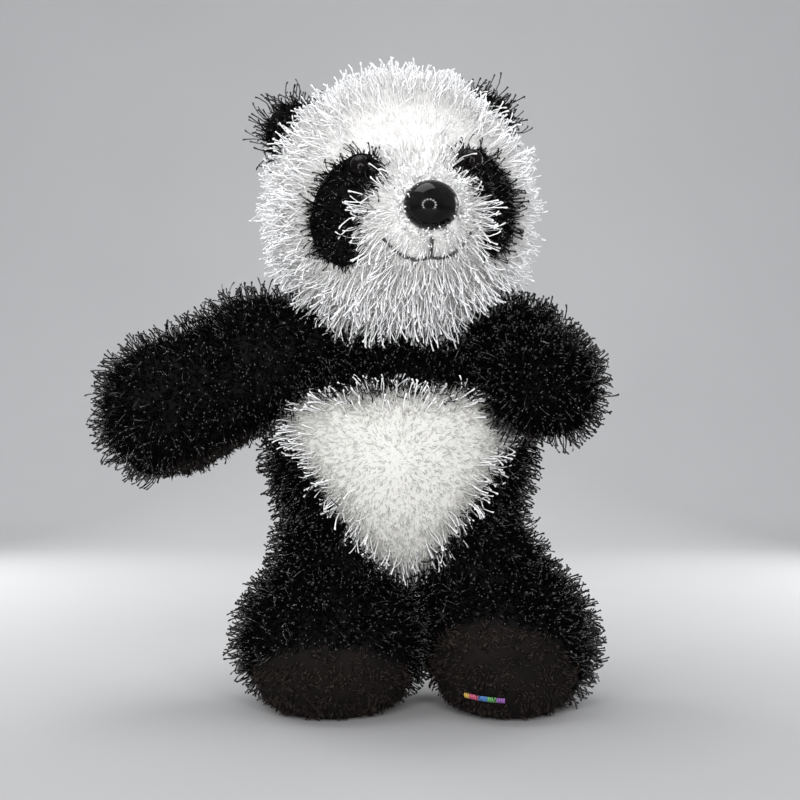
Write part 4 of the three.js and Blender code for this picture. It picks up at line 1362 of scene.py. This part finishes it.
def make_leg(side):
    hip = joints[f"leg_{side}_forward"]
    foot = foot_centre(side)
    down = foot - hip
    thigh = limb(hip, unit(down), np.linalg.norm(down), LEG_RADIUS, LEG_RADIUS - 0.01)
    toe = ellipsoid(np.array(FEET[side]["radii"]), foot, rows=36, around=56)
    skin = stuffed_skin(f"leg_skin_{side}", thigh, toe, voxel=2.0, soften=8)
    fallen = (hip[2] - coords(skin)[:, 2]) / -down[2]
    seam = np.abs(coords(skin)[:, 0] - (hip[0] + fallen * down[0]))
    swell(skin, seam < 1.4)
    points = coords(skin)
    points[:, 2] = np.maximum(points[:, 2], FLOOR_CLEAR)
    set_coords(skin, points)
    skin = subdivide(skin)
    plane, normal = sole_plane(side)
    body = f"leg_{side}"
    dress(skin, black_backing, body, "black_pile", f"leg_cover_{side}", fill=0.9)

    def on_sole(points):
        return (points - plane) @ normal > 0

    pad = panel(f"sole_cloth_{side}", skin, on_sole, lift=0.5, thickness=1.0)
    flat = coords(pad)
    flat[:, 2] = np.maximum(flat[:, 2], PAD_CLEAR)
    set_coords(pad, flat)
    dress(pad, velour_backing, body, "sole_velour", f"sole_pad_{side}", fill=0.7)

    def pile_place(roots):
        return clear_of_torso(roots) & ((roots - plane) @ normal < -0.4) & (roots[:, 2] > 1.2)

    def near_pad(roots):
        return 1 - smoothstep(0, 6, -(roots - plane) @ normal)

    def long_style(roots, outward):
        length = varied(6.8, len(roots), 0.6, 1.2) * (1 - 0.35 * near_pad(roots))
        return combed(outward, downward(roots), 0.25, 0.4), length

    def down_style(roots, outward):
        length = varied(3.2, len(roots)) * (1 - 0.3 * near_pad(roots))
        return combed(outward, downward(roots), 0.25, 0.5), length

    grow(f"leg_pile_{side}", "black long", skin, pile_place, long_style, body, count=3000)
    grow(f"leg_down_{side}", "black down", skin, pile_place, down_style, body, count=11000)

    def velour_place(roots):
        return (roots[:, 2] > 0.8) & ((roots - plane) @ normal > 0.2)

    grow(f"sole_velour_{side}", "velour", pad, velour_place, velour_style, body, count=6000)
    return skin


def make_stitched_bar(skin):
    """Satin stitches side by side across a short bar at the lower edge of the right sole."""
    tree = BVHTree.FromObject(skin, bpy.context.evaluated_depsgraph_get())
    centre = foot_centre("right")
    stitches = []
    below = math.radians(BAR["below"])
    for n in range(BAR["stitches"]):
        share = n / (BAR["stitches"] - 1) * 2 - 1
        ends = []
        for across in (-1, -0.4, 0.4, 1):
            drop = below + math.radians(BAR["half_width"]) * across
            way = np.array([0, -math.sin(drop), -math.cos(drop)])
            way = turned("Z", BAR["azimuth"] + BAR["half_span"] * share) @ way
            hit = tree.ray_cast(Vector(centre) * MM, Vector(way))[0]
            ends.append(np.array(hit) / MM + way * (0.9 + 0.5 * (1 - across ** 2)))
        stitches.append(tube(curve_through(ends, 3), 0.3, 6))
    bar = piece_from("sole_bar_stitches", *merged(*stitches))
    dress(bar, bar_thread, "leg_right", "bar_thread", "sole_stitch_bar")


# ---------------------------------------------------------------- split ring
RING = {"radius": 13.1, "wire": 1.8, "turn": 1.15, "gap": 0.3, "crossing": 20, "steps": 150}


def make_split_ring():
    """Flat wire with rounded edges in nearly two turns, which cross over once."""
    low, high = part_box("split_ring")
    centre = (np.array(low) + np.array(high)) / 2 / MM
    axes = turned("Z", math.degrees(HEAD_TURN))
    crossing = RING["crossing"]
    around = np.linspace(crossing + 3, 720 - crossing - 3, RING["steps"])
    offset = (smoothstep(360 - crossing, 360 + crossing, around) - 0.5) * (RING["turn"] + RING["gap"])
    section = rounded_section(RING["turn"], RING["wire"], 0.75)
    rings = []
    for degrees, across in zip(around, offset):
        way = np.array([math.cos(math.radians(degrees)), 0, math.sin(math.radians(degrees))])
        reach = (RING["radius"] + section[:, 1:]) * way
        rings.append(reach + np.array([0, 1, 0]) * (section[:, :1] + across))
    points, faces = closed(rings)
    ring = piece_from("key_ring", points @ axes.T + centre, faces)
    dress(ring, nickel, "ring", "nickel", "split_ring")


# ---------------------------------------------------------------- ribbon and care label
RIBBON = {"width": 8, "thickness": 1.15, "rib": 0.9, "rib_depth": 0.16, "bar_gap": 2.67}
RIBBON_END = [(-19.5, -0.615), (-15, -0.615), (-10, -0.615), (-6.2, -1.5), (-2.8, -2.45)]
TACK = {"reach": 3.0, "from": 10.6, "to": 12.2, "turns": 15, "thread": 0.2}
LABEL = {"centre": (10.5, 20.8, 41), "width": 10, "thickness": 0.28, "cup": 0.7}
LABEL_FOLD = [(-4.7, 9.0), (-1.2, 6.0), (0.35, 0.0), (1.3, -4.5), (1.8, -6.1), (2.05, -6.45),
              (2.3, -6.1), (1.85, -4.5), (0.9, 0.0), (-0.65, 6.0), (-4.2, 9.0)]


def make_ribbon():
    """Ribbed ribbon round the bar of the swivel eye, with its two ends tacked together in the head."""
    axes = turned("Z", math.degrees(HEAD_TURN))
    gap = RIBBON["bar_gap"]
    turn = []
    for degrees in range(-90, 91, 30):
        turn.append((gap * math.cos(math.radians(degrees)), gap * math.sin(math.radians(degrees))))
    other_end = [(y, -z) for y, z in RIBBON_END[::-1]]
    corners = [(0, y, z) for y, z in RIBBON_END + turn + other_end]
    path, way = evenly(curve_through(corners), 0.15)
    ribs = RIBBON["rib_depth"] * (np.cos(2 * math.pi * way / RIBBON["rib"]) - 1) / 2
    points, faces = band(path, RIBBON["width"], RIBBON["thickness"] + ribs)
    ribbon = piece_from("hang_ribbon", points @ axes.T + joints["clip_swing"], faces)
    dress(ribbon, ribbon_cloth, "head", "ribbon", "hang_loop")
    tacks = []
    for sign in SIDES.values():
        zigzag = []
        for n in range(TACK["turns"]):
            x = TACK["reach"] * (2 * n / (TACK["turns"] - 1) - 1)
            zigzag.append((x, -(TACK["to"] if n % 2 else TACK["from"]), sign * (RIBBON["thickness"] + 0.1)))
        tacks.append(tube(curve_through(zigzag, 3), TACK["thread"], 6))
    points, faces = merged(*tacks)
    tack = piece_from("ribbon_tack", points @ axes.T + joints["clip_swing"], faces)
    dress(tack, black_thread, "head", "black_thread")


def make_label():
    """Blank label: a folded tape with its two ends in the seam beside the tail."""
    centre = beside_neck(*LABEL["centre"])
    path, way = evenly(curve_through([(0, y, z) for y, z in LABEL_FOLD]), 0.25)
    points, faces = band(path, LABEL["width"], LABEL["thickness"])
    points[:, 1] += LABEL["cup"] * (points[:, 0] / LABEL["width"] * 2) ** 2
    label = piece_from("label_tape", points + centre, faces)
    dress(label, label_cloth, "torso", "label_cloth", "care_label")


# ---------------------------------------------------------------- all together
head_skin = make_head_skin()
make_nose()
make_eyes()
patches = make_patches(head_skin)
ears = make_ears()
mouth = mouth_paths(head_skin)
make_mouth(mouth)
grow_head(head_skin, patches, ears, mouth)
torso_skin = make_torso_skin()
belly = make_belly(torso_skin)
tail = make_tail()
neck = make_neck_skin()
grow_torso(torso_skin, belly, tail, neck)
for side in SIDES:
    make_arm(side)
legs = {side: make_leg(side) for side in SIDES}
make_stitched_bar(legs["right"])
make_split_ring()
make_ribbon()
make_label()

# ---------------------------------------------------------------- CAD pieces that stay
KEPT = {
    fibre_fill: ["head_stuffing", "muzzle_stuffing", "torso_stuffing", "arm_stuffing_left",
                 "arm_stuffing_right", "leg_stuffing_left", "leg_stuffing_right"],
    pellet_fill: ["pellet_bag", "foot_pellets_left", "foot_pellets_right"],
    clear_plastic: ["nose_washer", "eye_washer_left", "eye_washer_right"],
    black_thread: ["neck_seam_thread"],
    nickel: ["swivel_eye", "hook_body", "hook_gate", "gate_pin"],
    spring_steel: ["gate_spring"],
}
for look, names in KEPT.items():
    for name in names:
        cad = frame["nodes"][name]
        cad.data.materials.clear()
        cad.data.materials.append(look)
        cad.data.shade_smooth()
        cad.data.set_sharp_from_angle(angle=math.radians(38))
